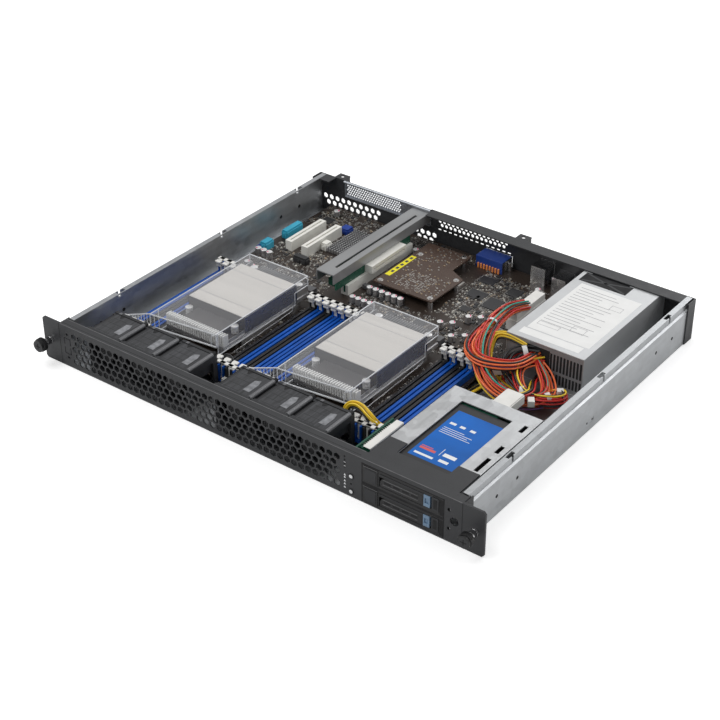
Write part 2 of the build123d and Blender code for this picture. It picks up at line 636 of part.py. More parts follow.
def rear_panel():
    """Rear wall with the card opening, vents, socket windows, top flanges and cover tabs."""
    centre_z = HEIGHT / 2
    face = Pos(0, centre_z) * Rectangle(2 * HALF_WIDTH, HEIGHT)
    holes = []
    groups = [
        (REAR_VENT_X, REAR_VENT_COUNT, REAR_VENT_Z, REAR_VENT_R),
        (SIDE_VENT_X, SIDE_VENT_COUNT, SIDE_VENT_Z, SIDE_VENT_R),
        (CARD_VENT_X, CARD_VENT_COUNT, CARD_VENT_Z, SIDE_VENT_R),
    ]
    for span, count, rows, radius in groups:
        step = (span[1] - span[0]) / (count - 1)
        for row, z in enumerate(rows):
            for i in range(count - row):
                place = Pos(span[0] + (i + row / 2) * step, z)
                holes.append(place * RegularPolygon(radius, 6, rotation=30))
    windows = []
    for i in range(OVAL_COUNT):
        x = OVAL_X[0] + i * (OVAL_X[1] - OVAL_X[0]) / (OVAL_COUNT - 1)
        z = (OVAL_Z - OVAL[1] / 2, OVAL_Z + OVAL[1] / 2)
        windows.append(((x - OVAL[0] / 2, x + OVAL[0] / 2), z))
    windows.append((SLOT_X, (SLOT_Z, HEIGHT + 1)))
    for x, top in ((VGA_X, VGA_TOP), (LAN_X, LAN_TOP), (USB_X, USB_TOP)):
        windows.append(((x[0] - GAP, x[1] + GAP), (BOARD_TOP, top + GAP)))
    side, edge = PSU_FRAME
    psu_z = (FLOOR_TOP + edge, FLOOR_TOP + PSU_HEIGHT - edge)
    windows.append(((PSU_X[0] + side, PSU_X[1] - side), psu_z))
    for x, z in windows:
        pane = Rectangle(x[1] - x[0], z[1] - z[0])
        holes.append(Pos((x[0] + x[1]) / 2, (z[0] + z[1]) / 2) * pane)
    back = DEPTH + SHEET
    panel = extrude(Plane.XZ * (face - holes), amount=SHEET, dir=(0, 1, 0))
    panel = Pos(0, DEPTH, 0) * panel
    top = (HEIGHT - SHEET, HEIGHT)
    inside = WALL_TOP_X - FLANGE
    panel += block((REAR_FLANGE_X[0], inside), (DEPTH - REAR_FLANGE, DEPTH), top)
    panel += block((-inside, REAR_FLANGE_X[1]), (DEPTH - REAR_FLANGE, DEPTH), top)
    wrap = block((HALF_WIDTH, HALF_WIDTH + SHEET), (DEPTH - REAR_FLANGE, back), (0, HEIGHT))
    panel += wrap
    panel += flipped(wrap)
    for x in TAB_X:
        span = (x - TAB_WIDTH / 2, x + TAB_WIDTH / 2)
        tab = block(span, (DEPTH, back + TAB_REACH), top)
        tab -= disc_z(TAB_HOLE_R, x, back + TAB_REACH / 2, (0, HEIGHT + 1))
        panel += tab
    return panel


def slot_cover():
    """Perforated blank over the card opening, with a rounded top rail."""
    x = (SLOT_X[0] + GAP, SLOT_X[1] - GAP)
    cover = block(x, (DEPTH, DEPTH + SHEET), (SLOT_Z + GAP, HEIGHT))
    cover += block(x, (DEPTH - COVER_RAIL, DEPTH), (HEIGHT - 2 * SHEET, HEIGHT))
    step = COVER_HOLE[0] + COVER_WEB
    through = (DEPTH - SHEET, DEPTH + 2 * SHEET)
    cuts = []
    for z in COVER_HOLE_Z:
        for i in range(COVER_HOLE_COUNT):
            start = x[0] + COVER_WEB + i * step
            cuts.append(block((start, start + COVER_HOLE[0]), through, (z, z + COVER_HOLE[1])))
    return cover - cuts


# Fans

def fan_frame(x, y0, length):
    """Square fan housing with a round duct, a waist and the motor plate on its struts."""
    bottom = FLOOR_TOP
    z = bottom + FAN / 2
    half = FAN / 2
    frame = block((x - half, x + half), (y0, y0 + length), (bottom, bottom + FAN))
    frame -= ngon_y(FAN_BORE_R, FAN_SIDES, x, (y0 - 1, y0 + length + 1), z)
    if length > 3 * FAN_RIM:
        waist_y = (y0 + FAN_RIM, y0 + length - FAN_RIM)
        top = bottom + FAN
        waist_z = (bottom + FAN_WAIST_MARGIN, top - FAN_WAIST_MARGIN)
        frame -= block((x - half - 1, x - half + FAN_WAIST), waist_y, (top - FAN_WAIST_TOP, top + 1))
        frame -= block((x + half - FAN_WAIST, x + half + 1), waist_y, waist_z)
        frame -= block((x - half - 1, x - half + FAN_WAIST_LEFT), waist_y, waist_z)
    back = y0 + length - FAN_MOTOR_INSET
    plate_y = (back - FAN_MOTOR_PLATE, back)
    frame += ngon_y(FAN_HUB_R, FAN_HUB_SIDES, x, plate_y, z)
    reach = FAN_BORE_R + FAN_STRUT_ROOT
    strut = FAN_STRUT / 2
    frame += block((x - strut, x + strut), plate_y, (z - reach, z + reach))
    frame += block((x - reach, x + reach), plate_y, (z - strut, z + strut))
    return frame


def fan_rotor(x, y0, length):
    """Hub with slanted blades, running just clear of the motor plate."""
    z = FLOOR_TOP + FAN / 2
    hub_y = (y0 + FAN_HUB_INSET, y0 + length - FAN_MOTOR_INSET - FAN_MOTOR_PLATE - GAP)
    rotor = ngon_y(FAN_HUB_R, FAN_HUB_SIDES, x, hub_y, z)
    radial, chord, thick = FAN_BLADE
    chord = min(chord, (hub_y[1] - hub_y[0]) * 0.9)
    middle = (hub_y[0] + hub_y[1]) / 2
    centre_r = FAN_HUB_R - FAN_BLADE_ROOT + radial / 2
    for i in range(FAN_BLADES):
        blade = Rot(FAN_BLADE_ANGLE, 0, 0) * Box(radial, chord, thick)
        blade = Rot(0, 360 * i / FAN_BLADES, 0) * Pos(centre_r, 0, 0) * blade
        rotor += Pos(x, middle, z) * blade
    return rotor


# Main board

def motherboard():
    """Main printed board, drilled over its studs."""
    return block(BOARD_X, BOARD_Y, (BOARD_BOTTOM, BOARD_TOP))


def cpu_socket(x):
    """Socket frame with the processor clamped in it."""
    w, d, h = SOCKET
    pw, pd, ph = PROCESSOR
    top = BOARD_TOP + h
    frame = block((x - w / 2, x + w / 2), (CPU_Y - d / 2, CPU_Y + d / 2), (BOARD_TOP, top))
    for dx in (-1, 1):
        for dy in (-1, 1):
            sx = x + dx * SINK_SCREW_DX
            sy = CPU_Y + dy * SINK_SCREW_DY
            frame -= disc_z(SINK_SCREW_CLEAR, sx, sy, (0, top + 1))
    chip_y = (CPU_Y - pd / 2, CPU_Y + pd / 2)
    chip = block((x - pw / 2, x + pw / 2), chip_y, (top, top + ph))
    return frame, chip


def heatsink(x):
    """Finned cooler: base, upright fins with a low shoulder, and a folded top sheet."""
    low = SINK_BOTTOM
    left = x - SINK_WIDTH / 2
    step = (SINK_WIDTH - SINK_FIN_T) / (SINK_FINS - 1)
    fin_top = SINK_TOP - SINK_PLATE_T
    outline = [(left, low), (left, fin_top)]
    for i in range(SINK_FINS):
        edge = left + i * step
        if i:
            outline += [(edge, low + SINK_BASE), (edge, fin_top)]
        outline.append((edge + SINK_FIN_T, fin_top))
        if i < SINK_FINS - 1:
            outline.append((edge + SINK_FIN_T, low + SINK_BASE))
    outline.append((left + SINK_WIDTH, low))
    sink = prism_y(outline, *SINK_Y)
    span = (left - 1, left + SINK_WIDTH + 1)
    sink -= block(span, (SINK_Y[0] - 1, SINK_PLATE_Y[0]), (SINK_SHOULDER_TOP, SINK_TOP + 1))
    sink -= block(span, (SINK_PLATE_Y[1], SINK_Y[1] + 1), (SINK_SHOULDER_TOP, SINK_TOP + 1))
    sink += block((left, left + SINK_WIDTH), SINK_PLATE_Y, (fin_top, SINK_TOP))
    for dx in (-1, 1):
        for dy in (-1, 1):
            sx = x + dx * SINK_SCREW_DX
            sy = CPU_Y + dy * SINK_SCREW_DY
            well = SINK_SCREW_CLEAR
            well_z = (low + SINK_BASE, SINK_TOP + 1)
            sink -= block((sx - well, sx + well), (sy - well, sy + well), well_z)
            sink -= ngon_z(SINK_SCREW_R + GAP, 8, sx, sy, (low - 1, SINK_TOP + 1))
    return sink


def heatsink_screw(x, y):
    """Spring-loaded screw that pulls a heatsink down on the board."""
    low = SINK_BOTTOM + SINK_BASE
    shank = ngon_z(SINK_SCREW_R - 0.2, 8, x, y, (BOARD_TOP, SINK_SCREW_TOP))
    collar = ngon_z(SINK_SCREW_HEAD_R, 8, x, y, (low, SINK_SCREW_TOP))
    return shank + collar


def slot_ends():
    """Front and rear limits of a memory slot's module space."""
    half = MODULE_LENGTH / 2
    return SLOT_CENTRE_Y - half, SLOT_CENTRE_Y + half


def memory_slot(x):
    """One memory slot: keyed body and an open tower for the latch at each end."""
    front, rear = slot_ends()
    half = SLOT_WIDTH / 2
    low = BOARD_TOP
    span = (x - half, x + half)
    slot = block(span, (front - SLOT_END, rear + SLOT_END), (low, SLOT_BODY_TOP))
    groove, depth = KEY_SLOT
    groove_x = (x - groove / 2, x + groove / 2)
    slot -= block(groove_x, (front, rear), (SLOT_BODY_TOP - depth, SLOT_BODY_TOP + 1))
    pocket = LATCH_WIDTH / 2 + LATCH_SIDE_GAP
    for end, way in ((front, -1), (rear, 1)):
        y = sorted((end + way * SLOT_END, end + way * (SLOT_END + TOWER_LENGTH)))
        tower = block(span, y, (low, TOWER_TOP))
        open_y = (y[0] - 1, y[1]) if way < 0 else (y[0], y[1] + 1)
        opening = block((x - pocket, x + pocket), open_y, (low + TOWER_FLOOR, TOWER_TOP + 1))
        slot += tower - opening
    return slot


def latch_axis_y(way):
    """Hinge line of the latches at one end of the slots."""
    front, rear = slot_ends()
    reach = SLOT_END + LATCH_END_GAP + LATCH_THICK / 2
    return front - reach if way < 0 else rear + reach


def memory_latch(x, way):
    """White ejector latch with a finger pad on top and a rounded foot at its hinge."""
    y = latch_axis_y(way)
    half = LATCH_THICK / 2
    low = LATCH_PIVOT_Z - half
    nose = -way * LATCH_NOSE
    foot = half * LATCH_FOOT
    points = [(y - half, LATCH_PIVOT_Z), (y - foot, low), (y + foot, low)]
    points += [(y + half, LATCH_PIVOT_Z)]
    top = LATCH_TOP
    bend, lip = (top - drop for drop in LATCH_NOSE_Z)
    if way < 0:
        points += [(y + half, bend), (y + half + nose, lip), (y + half + nose, top)]
        points += [(y - half, top)]
    else:
        points += [(y + half, top), (y - half + nose, top), (y - half + nose, lip)]
        points += [(y - half, bend)]
    return prism_x(points, x - LATCH_WIDTH / 2, x + LATCH_WIDTH / 2)


def bank_slots(bank):
    """Centre lines and colours of one bank of four slots."""
    return [(BANK_X[bank] + i * SLOT_PITCH, BANK_COLOURS[bank][i]) for i in range(SLOTS_IN_BANK)]


def air_duct(x):
    """Clear duct over one processor: roof, slanted front, side skirts and a pointed wing."""
    left = x - DUCT_HALF
    right = x + DUCT_HALF
    start, turn = DUCT_FRONT_Y
    low = DUCT_ROOF_TOP - DUCT_T
    roof = [(left, start), (right, turn), (right, DUCT_END_Y), (left, DUCT_END_Y)]
    duct = prism_z(roof, low, DUCT_ROOF_TOP)
    wall = [(left, start), (right, turn), (right, turn + DUCT_T), (left, start + DUCT_T)]
    duct += prism_z(wall, DUCT_FRONT_LOW, low)
    tip = (left - DUCT_WING, DUCT_FRONT_LOW)
    wing = [tip, (left + DUCT_T, DUCT_FRONT_LOW), (left + DUCT_T, DUCT_ROOF_TOP), (left, DUCT_ROOF_TOP)]
    duct += prism_y(wing, start, start + DUCT_T)
    for edge, way, front in ((left, 1, start), (right, -1, turn)):
        span = sorted((edge, edge + way * DUCT_T))
        duct += block(span, (front, DUCT_END_Y), (DUCT_SKIRT_HIGH, low))
        duct += block(span, DUCT_SKIRT_Y, (DUCT_SKIRT_LOW, low))
    return duct


# Riser, cards and board furniture

def riser_card():
    """Upright riser board with its black card socket facing left."""
    x = (RISER_CARD_X - RISER_CARD_T / 2, RISER_CARD_X + RISER_CARD_T / 2)
    card = block(x, RISER_CARD_Y, RISER_CARD_Z)
    reach, span, z = RISER_LEFT_SLOT
    card += block((x[0] - reach, x[0]), (RISER_CARD_Y[0] + span[0], RISER_CARD_Y[0] + span[1]), z)
    past = RISER_SOCKET_Y[0] - GAP
    card -= block((x[0] - 1, x[1] + 1), (0, past), (0, RISER_SOCKET[1]))
    return card


def riser_bracket():
    """Folded steel channel over the riser, with one long slot in its top."""
    x0, x1 = BRACKET_X
    top = (BRACKET_TOP - SHEET, BRACKET_TOP)
    bracket = block(BRACKET_X, BRACKET_Y, top)
    bracket += block((x0, x0 + SHEET), BRACKET_Y, (BRACKET_LOW[0], BRACKET_TOP))
    bracket += block((x1 - SHEET, x1), BRACKET_Y, (BRACKET_LOW[1], BRACKET_TOP))
    width, inset = BRACKET_SLOT
    slot_x = (BRACKET_SLOT_X - width / 2, BRACKET_SLOT_X + width / 2)
    slot_y = (BRACKET_Y[0] + inset, BRACKET_Y[1] - inset)
    return bracket - block(slot_x, slot_y, (BRACKET_TOP - 2 * SHEET, BRACKET_TOP + 1))


def riser_socket():
    """White board socket that holds the riser card upright."""
    half, top = RISER_SOCKET
    x = (RISER_CARD_X - half, RISER_CARD_X + half)
    socket = block(x, RISER_SOCKET_Y, (BOARD_TOP, top))
    groove = RISER_CARD_T / 2 + GAP
    open_x = (RISER_CARD_X - groove, RISER_CARD_X + groove)
    open_y = (RISER_SOCKET_Y[0] - 1, RISER_SOCKET_Y[1] + 1)
    return socket - block(open_x, open_y, (RISER_CARD_Z[0], top + 1))


def expansion_slot(x):
    """White card slot with its contact groove."""
    width, height = CARD_SLOT
    top = BOARD_TOP + height
    y = CARD_SLOT_Y
    slot = block((x - width / 2, x + width / 2), y, (BOARD_TOP, top))
    groove, depth, inset = CARD_GROOVE
    groove_y = (y[0] + inset, y[1] - inset)
    return slot - block((x - groove / 2, x + groove / 2), groove_y, (top - depth, top + 1))


def riser_side_slot():
    """White slot on the right-hand side of the riser board."""
    x0 = RISER_CARD_X + RISER_CARD_T / 2
    reach, span, z = RISER_RIGHT_SLOT
    y = (CARDS_Y + span[0], CARDS_Y + span[1])
    slot = block((x0, x0 + reach), y, z)
    start, inset, groove_z = RISER_RIGHT_GROOVE
    return slot - block((x0 + start, x0 + reach + 1), (y[0] + inset, y[1] - inset), groove_z)


def storage_connectors():
    """Blue and black data and fan headers along the left edge of the board."""
    return [block(*on_board(x, y), (BOARD_TOP, BOARD_TOP + height)) for x, y, height in HEADERS]


def on_board(x, y):
    """Limits given from the board's left edge and the card area's front, in the part's frame."""
    return (BOARD_LEFT + x[0], BOARD_LEFT + x[1]), (CARDS_Y + y[0], CARDS_Y + y[1])


def chipset_heatsink():
    """Low cross-cut aluminium cooler on the chipset."""
    x, y = on_board(CHIPSET_X, CHIPSET_Y)
    top = BOARD_TOP + CHIPSET_HEIGHT
    cut_z = (top - CHIPSET_GROOVE_DEPTH, top + 1)
    sink = block(x, y, (BOARD_TOP, top))
    rows, groove = CHIPSET_ACROSS
    for i in range(1, rows):
        cx = x[0] + i * (x[1] - x[0]) / rows
        sink -= block((cx - groove / 2, cx + groove / 2), (y[0] - 1, y[1] + 1), cut_z)
    rows, groove = CHIPSET_ALONG
    for i in range(1, rows):
        cy = y[0] + i * (y[1] - y[0]) / rows
        sink -= block((x[0] - 1, x[1] + 1), (cy - groove / 2, cy + groove / 2), cut_z)
    return sink


def mezzanine_card():
    """Raised network card with its controller, on four hexagonal pillars."""
    top = CARD_Z + BOARD_T
    outline = [(BOARD_LEFT + x, CARDS_Y + y) for x, y in CARD_OUTLINE]
    card = prism_z(outline, CARD_Z, top)
    x, y, height = CARD_CHIP
    card += block(*on_board(x, y), (top, top + height))
    card += block(*on_board(*CARD_SOCKET), (BOARD_TOP, CARD_Z))
    for x, y in CARD_PILLARS:
        card += ngon_z(CARD_PILLAR_R, 6, BOARD_LEFT + x, CARDS_Y + y, (BOARD_TOP, CARD_Z))
    return card


def power_chokes():
    """Square coils of the processor supplies and a few power transistors."""
    parts = []
    for row, starts in ((CHOKE_ROW, (BOARD_LEFT,)), (COIL_ROW, CPU_X)):
        count, first, pitch, (width, depth), (front, height) = row
        y = (CARDS_Y + front, CARDS_Y + front + depth)
        for start in starts:
            for i in range(count):
                x = start + first + pitch * i
                parts.append(block((x - width / 2, x + width / 2), y, (BOARD_TOP, BOARD_TOP + height)))
    return parts


def rear_ports():
    """Blue display socket and two stacked metal sockets, open to the rear."""
    back = DEPTH + SHEET
    end = back + PORT_PROUD
    vga = block(VGA_X, (PORT_Y, DEPTH), (BOARD_TOP, VGA_TOP))
    centre = (VGA_X[0] + VGA_X[1]) / 2
    middle = (BOARD_TOP + VGA_TOP) / 2
    w, h = VGA_SHELL
    shell_end = back + VGA_SHELL_LENGTH
    shell = block((centre - w / 2, centre + w / 2), (DEPTH, shell_end), (middle - h / 2, middle + h / 2))
    w -= 2 * VGA_SHELL_WALL
    h -= 2 * VGA_SHELL_WALL
    recess_y = (DEPTH, shell_end + 1)
    vga += shell - block((centre - w / 2, centre + w / 2), recess_y, (middle - h / 2, middle + h / 2))
    lan = block(LAN_X, (PORT_Y, end), (BOARD_TOP, LAN_TOP))
    lan -= cavity(LAN_X, RJ_CAVITY, LAN_TOP - PORT_WALL - RJ_CAVITY[1] / 2, end)
    lan -= cavity(LAN_X, USB_CAVITY, BOARD_TOP + PORT_WALL + USB_CAVITY[1] / 2, end)
    usb = block(USB_X, (PORT_Y, end), (BOARD_TOP, USB_TOP))
    usb -= cavity(USB_X, USB_CAVITY, USB_TOP - PORT_WALL - USB_CAVITY[1] / 2, end)
    usb -= cavity(USB_X, USB_CAVITY, BOARD_TOP + PORT_WALL + USB_CAVITY[1] / 2, end)
    return vga, lan, usb


def cavity(x, size, z, end):
    """Plug recess centred across a socket."""
    centre = (x[0] + x[1]) / 2
    w, h = size
    return block((centre - w / 2, centre + w / 2), (end - CAVITY_DEPTH, end + 1), (z - h / 2, z + h / 2))


# Power supply

def psu_case():
    """Steel power supply case, notched for its fan, with front slots and a mains inlet."""
    top = FLOOR_TOP + PSU_HEIGHT
    case = block(PSU_X, (PSU_Y, DEPTH), (FLOOR_TOP, top))
    half = FAN / 2 + GAP
    fan_y = (DEPTH - PSU_FAN_LENGTH - 2 * GAP, DEPTH + 1)
    case -= block((PSU_FAN_X - half, PSU_FAN_X + half), fan_y, (0, top + 1))
    width, depth = PSU_SLOT
    for i in range(PSU_SLOT_COUNT):
        x = PSU_SLOT_X + i * PSU_SLOT_PITCH
        for z in (PSU_SLOT_LONG, PSU_SLOT_SHORT):
            case -= block((x - width / 2, x + width / 2), (PSU_Y - 1, PSU_Y + depth), z)
    w, h, d = INLET
    inlet_x = (INLET_X - w / 2, INLET_X + w / 2)
    case -= block(inlet_x, (DEPTH - d, DEPTH + 1), (INLET_Z - h / 2, INLET_Z + h / 2))
    return case


# Drives

def tray_base(level):
    """Underside of the lower tray, 0, or the upper one, 1."""
    if level:
        return CAGE_SHELF_Z + CAGE_SHELF + GAP
    return FLOOR_TOP + GAP


def drive_cage():
    """Steel cage with a middle shelf, a top window and slots beside it."""
    x0, x1 = CAGE_X
    skin = CAGE_SKIN
    y = (SHEET, CAGE_END_Y)
    cage = block(CAGE_X, y, (FLOOR_TOP, CAGE_TOP))
    inner = (x0 + skin, x1 - skin)
    long = (y[0] - 1, y[1] + 1)
    cage -= block(inner, long, (FLOOR_TOP - 1, CAGE_SHELF_Z))
    cage -= block(inner, long, (CAGE_SHELF_Z + CAGE_SHELF, CAGE_TOP - skin))
    cage -= block(CAGE_WINDOW_X, CAGE_WINDOW_Y, (CAGE_TOP - 2 * skin, CAGE_TOP + 1))
    for span in CAGE_SLOT_Y:
        slot_x = (CAGE_SLOT_X - CAGE_SLOT_WIDTH / 2, CAGE_SLOT_X + CAGE_SLOT_WIDTH / 2)
        cage -= block(slot_x, span, (CAGE_TOP - 2 * skin, CAGE_TOP + 1))
    back = (BACKPLANE_Y - GAP, CAGE_END_Y + 1)
    cage -= block(inner, back, (CAGE_SHELF_Z - 1, CAGE_SHELF_Z + CAGE_SHELF + 1))
    return cage


def drive_backplane():
    """Upright board behind the drives with its power socket and two drive sockets."""
    y = (BACKPLANE_Y, BACKPLANE_Y + BACKPLANE_T)
    board = block(BACKPLANE_X, y, (FLOOR_TOP, BACKPLANE_TOP))
    for x, reach, z in (POWER_SOCKET, DATA_SOCKET):
        board += block((CAGE_X[0] + x[0], CAGE_X[0] + x[1]), (y[1], BACKPLANE_Y + reach), z)
    for level in (0, 1):
        z = tray_base(level) + DRIVE_LIFT
        x = (drive_x()[0] + DRIVE_SOCKET[0], drive_x()[0] + DRIVE_SOCKET[1])
        front = DRIVE_Y + DRIVE[1] + GAP
        board += block(x, (front, y[0]), (z, z + DRIVE[2] - 1))
    return board


def drive_x():
    """Side limits of a drive, centred between the tray's rails."""
    centre = (TRAY_X[0] + TRAY_X[1]) / 2
    return centre - DRIVE[0] / 2, centre + DRIVE[0] / 2


def drive_tray(level):
    """Sliding tray: front with the lever recess, two side rails and a cross floor."""
    low = tray_base(level)
    x0, x1 = TRAY_X
    face = block(TRAY_X, (0, TRAY_FRONT_DEPTH), (low, low + TRAY_FRONT_HEIGHT))
    well_y = (-1, LEVER_T + GAP)
    well_x = (LEVER_X[0] - GAP, LEVER_X[1] + GAP)
    well_z = (low + LEVER_Z[0] - GAP, low + LEVER_Z[1] + GAP)
    face -= block(well_x, well_y, well_z)
    latch_x = (LATCH_X[0] - GAP, LATCH_X[1] + LATCH_TRAVEL + GAP)
    latch_z = (low + LATCH_Z[0] - GAP, low + LATCH_Z[1] + GAP)
    face -= block(latch_x, well_y, latch_z)
    drive = drive_x()
    left = (drive[0] - GAP - TRAY_RAIL, drive[0] - GAP)
    right = (drive[1] + GAP, drive[1] + GAP + TRAY_RAIL)
    length = (TRAY_FRONT_DEPTH, TRAY_LENGTH)
    tall = (low, low + TRAY_RAIL_HEIGHT)
    floor_y = (TRAY_FRONT_DEPTH, TRAY_FRONT_DEPTH + TRAY_FLOOR_LENGTH)
    shelf = (low + DRIVE_LIFT - GAP - TRAY_FLOOR, low + DRIVE_LIFT - GAP)
    tray = face + block(left, length, tall) + block(right, length, tall)
    tray += block((left[0], right[1]), floor_y, shelf)
    far_y = (DRIVE_Y + DRIVE[1] - TRAY_FLOOR_LENGTH, DRIVE_Y + DRIVE[1])
    tray += block((left[0], right[1]), far_y, shelf)
    return tray


def lever(level):
    """Ejector lever with a row of air slots, rounded about its hinge."""
    low = tray_base(level)
    z = (low + LEVER_Z[0], low + LEVER_Z[1])
    pivot_x = LEVER_X[0] + LEVER_PIVOT_R
    body = block((pivot_x, LEVER_X[1]), (0, LEVER_T), z)
    body += ngon_z(LEVER_T / 2, 12, pivot_x, LEVER_T / 2, z)
    middle = (z[0] + z[1]) / 2
    w, h = LEVER_SLOT
    for i in range(LEVER_SLOTS):
        x = pivot_x + LEVER_SLOT_START + LEVER_SLOT_PITCH * i
        body -= block((x - w / 2, x + w / 2), (-1, LEVER_T + 1), (middle - h / 2, middle + h / 2))
    return body


def lever_latch(level):
    """Sprung catch that holds the lever shut."""
    low = tray_base(level)
    z = (low + LATCH_Z[0], low + LATCH_Z[1])
    catch = block(LATCH_X, (-LATCH_PROUD, LEVER_T), z)
    side, end, depth = LATCH_DIMPLE
    return catch - block((LATCH_X[0] + side, LATCH_X[1] - side), (-1, depth), (z[0] + end, z[1] - end))


def solid_state_drive(level):
    """Plain 2.5-inch drive, 7 mm high."""
    low = tray_base(level) + DRIVE_LIFT
    return block(drive_x(), (DRIVE_Y, DRIVE_Y + DRIVE[1]), (low, low + DRIVE[2]))


# Front controls and cables

def control_board():
    """Upright board behind the lamps with the block of push switches."""
    x = (CONTROL_X, CONTROL_X + CONTROL_T)
    board = block(x, CONTROL_Y, (FLOOR_TOP, CONTROL_TOP))
    beside, above = SWITCH_MARGIN
    switches = (x[1], BUTTON_X + BUTTON_R + beside)
    back = (CONTROL_Y[0], CONTROL_Y[0] + SWITCH_DEPTH)
    board += block(switches, back, (LOCATE_Z - above, POWER_Z + above))
    board += block((x[1], SHROUD_X[0]), SHROUD_Y, SHROUD_WEB)
    return board + block(SHROUD_X, SHROUD_Y, SHROUD_Z)


def push_button(z):
    """Round push button held in the bezel."""
    rear = BUTTON_LENGTH - BUTTON_PROUD
    button = disc_y(BUTTON_R, BUTTON_X, (-BUTTON_PROUD, rear), z)
    return button


def power_connectors():
    """Board power socket with the plug in it, and the plug at the drive backplane."""
    socket = block(POWER_X, POWER_Y, (BOARD_TOP, POWER_TOP))
    side, end = PLUG_INSET
    plug_x = (POWER_X[0] + side, POWER_X[1] - side)
    plug_y = (POWER_Y[0] + end, POWER_Y[1] - end)
    plug = block(plug_x, plug_y, (POWER_TOP, POWER_TOP + PLUG_HEIGHT))
    x, length, z = DRIVE_PLUG
    seat = BACKPLANE_Y + POWER_SOCKET[1]
    drive_plug = block((CAGE_X[0] + x[0], CAGE_X[0] + x[1]), (seat, seat + length), z)
    return socket, plug, drive_plug


def cable(route, diameter):
    """Plain round loom: straight runs joined by arcs as large as the runs allow."""
    points = [Vector(*p) for p in route]
    radii = []
    for a, b, c in zip(points, points[1:], points[2:]):
        before = b - a
        after = c - b
        turn = math.radians(before.get_angle(after))
        radii.append(0.45 * min(before.length, after.length) / math.tan(turn / 2))
    path = FilletPolyline(*points, radius=radii)
    start = Plane(origin=points[0], z_dir=points[1] - points[0])
    tube = sweep(start * RegularPolygon(diameter / 2, LOOM_SIDES), path=path)
    return tube


# Write every node

def main():
    save("chassis_tray", chassis_tray())
    save("front_bezel", front_bezel())
    plate, sleeve = ear()
    save("ear_right", plate, sleeve)
    save("ear_left", flipped(plate), flipped(sleeve))
    screw = thumbscrew()
    save("thumbscrew_right", screw)
    save("thumbscrew_left", flipped(screw))
    save("rear_panel", rear_panel())
    save("slot_cover", slot_cover())
    for group, first in (("left", FAN_LEFT_X), ("right", FAN_RIGHT_X)):
        for i in range(3):
            x = first + i * FAN_PITCH
            save(f"fan_frame_{group}_{i + 1}", fan_frame(x, FAN_Y, FAN_LENGTH))
            save(f"fan_rotor_{group}_{i + 1}", fan_rotor(x, FAN_Y, FAN_LENGTH))
    save("motherboard", motherboard())
    sockets = [piece for x in CPU_X for piece in cpu_socket(x)]
    save("cpu_sockets", *sockets)
    screws = []
    for x, side in zip(CPU_X, ("left", "right")):
        save(f"heatsink_{side}", heatsink(x))
        save(f"air_duct_{side}", air_duct(x))
        for dx in (-1, 1):
            for dy in (-1, 1):
                screws.append(heatsink_screw(x + dx * SINK_SCREW_DX, CPU_Y + dy * SINK_SCREW_DY))
    save("heatsink_screws", *screws)
    colours = {"b": [], "k": []}
    for bank in BANK_X:
        for x, colour in bank_slots(bank):
            colours[colour].append(memory_slot(x))
    save("memory_slots_blue", *colours["b"])
    save("memory_slots_black", *colours["k"])
    for side, banks in (("left", "ab"), ("right", "cd")):
        for end, way in (("front", -1), ("rear", 1)):
            places = [x for bank in banks for x, colour in bank_slots(bank)]
            save(f"memory_latches_{side}_{end}", *[memory_latch(x, way) for x in places])
    save("riser_card", riser_card())
    save("riser_bracket", riser_bracket())
    slots = [expansion_slot(x) for x in CARD_SLOT_X]
    save("expansion_slots", *slots, riser_socket(), riser_side_slot())
    save("storage_connectors", *storage_connectors())
    save("chipset_heatsink", chipset_heatsink())
    save("mezzanine_card", mezzanine_card())
    save("power_chokes", *power_chokes())
    save("rear_ports", *rear_ports())
    save("psu_case", psu_case())
    psu_fan_y = DEPTH - PSU_FAN_LENGTH - GAP
    save("psu_fan_frame", fan_frame(PSU_FAN_X, psu_fan_y, PSU_FAN_LENGTH))
    save("psu_fan_rotor", fan_rotor(PSU_FAN_X, psu_fan_y, PSU_FAN_LENGTH))
    save("drive_cage", drive_cage())
    save("drive_backplane", drive_backplane())
    for level, name in enumerate(("lower", "upper")):
        save(f"drive_tray_{name}", drive_tray(level))
        save(f"tray_lever_{name}", lever(level))
        save(f"tray_latch_{name}", lever_latch(level))
        save(f"drive_{name}", solid_state_drive(level))
    save("control_board", control_board())
    save("power_button", push_button(POWER_Z))
    save("locate_button", push_button(LOCATE_Z))
    save("power_connectors", *power_connectors())
    save("main_loom", cable(LOOM_ROUTE, LOOM_D))
    save("drive_loom", cable(DRIVE_LOOM_ROUTE, DRIVE_LOOM_D))


main()
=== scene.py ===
"""Looks of the one-unit rack server: materials, board furniture, wires, camera and light."""
import math
import random

import bmesh
import bpy
from mathutils import Matrix, Vector

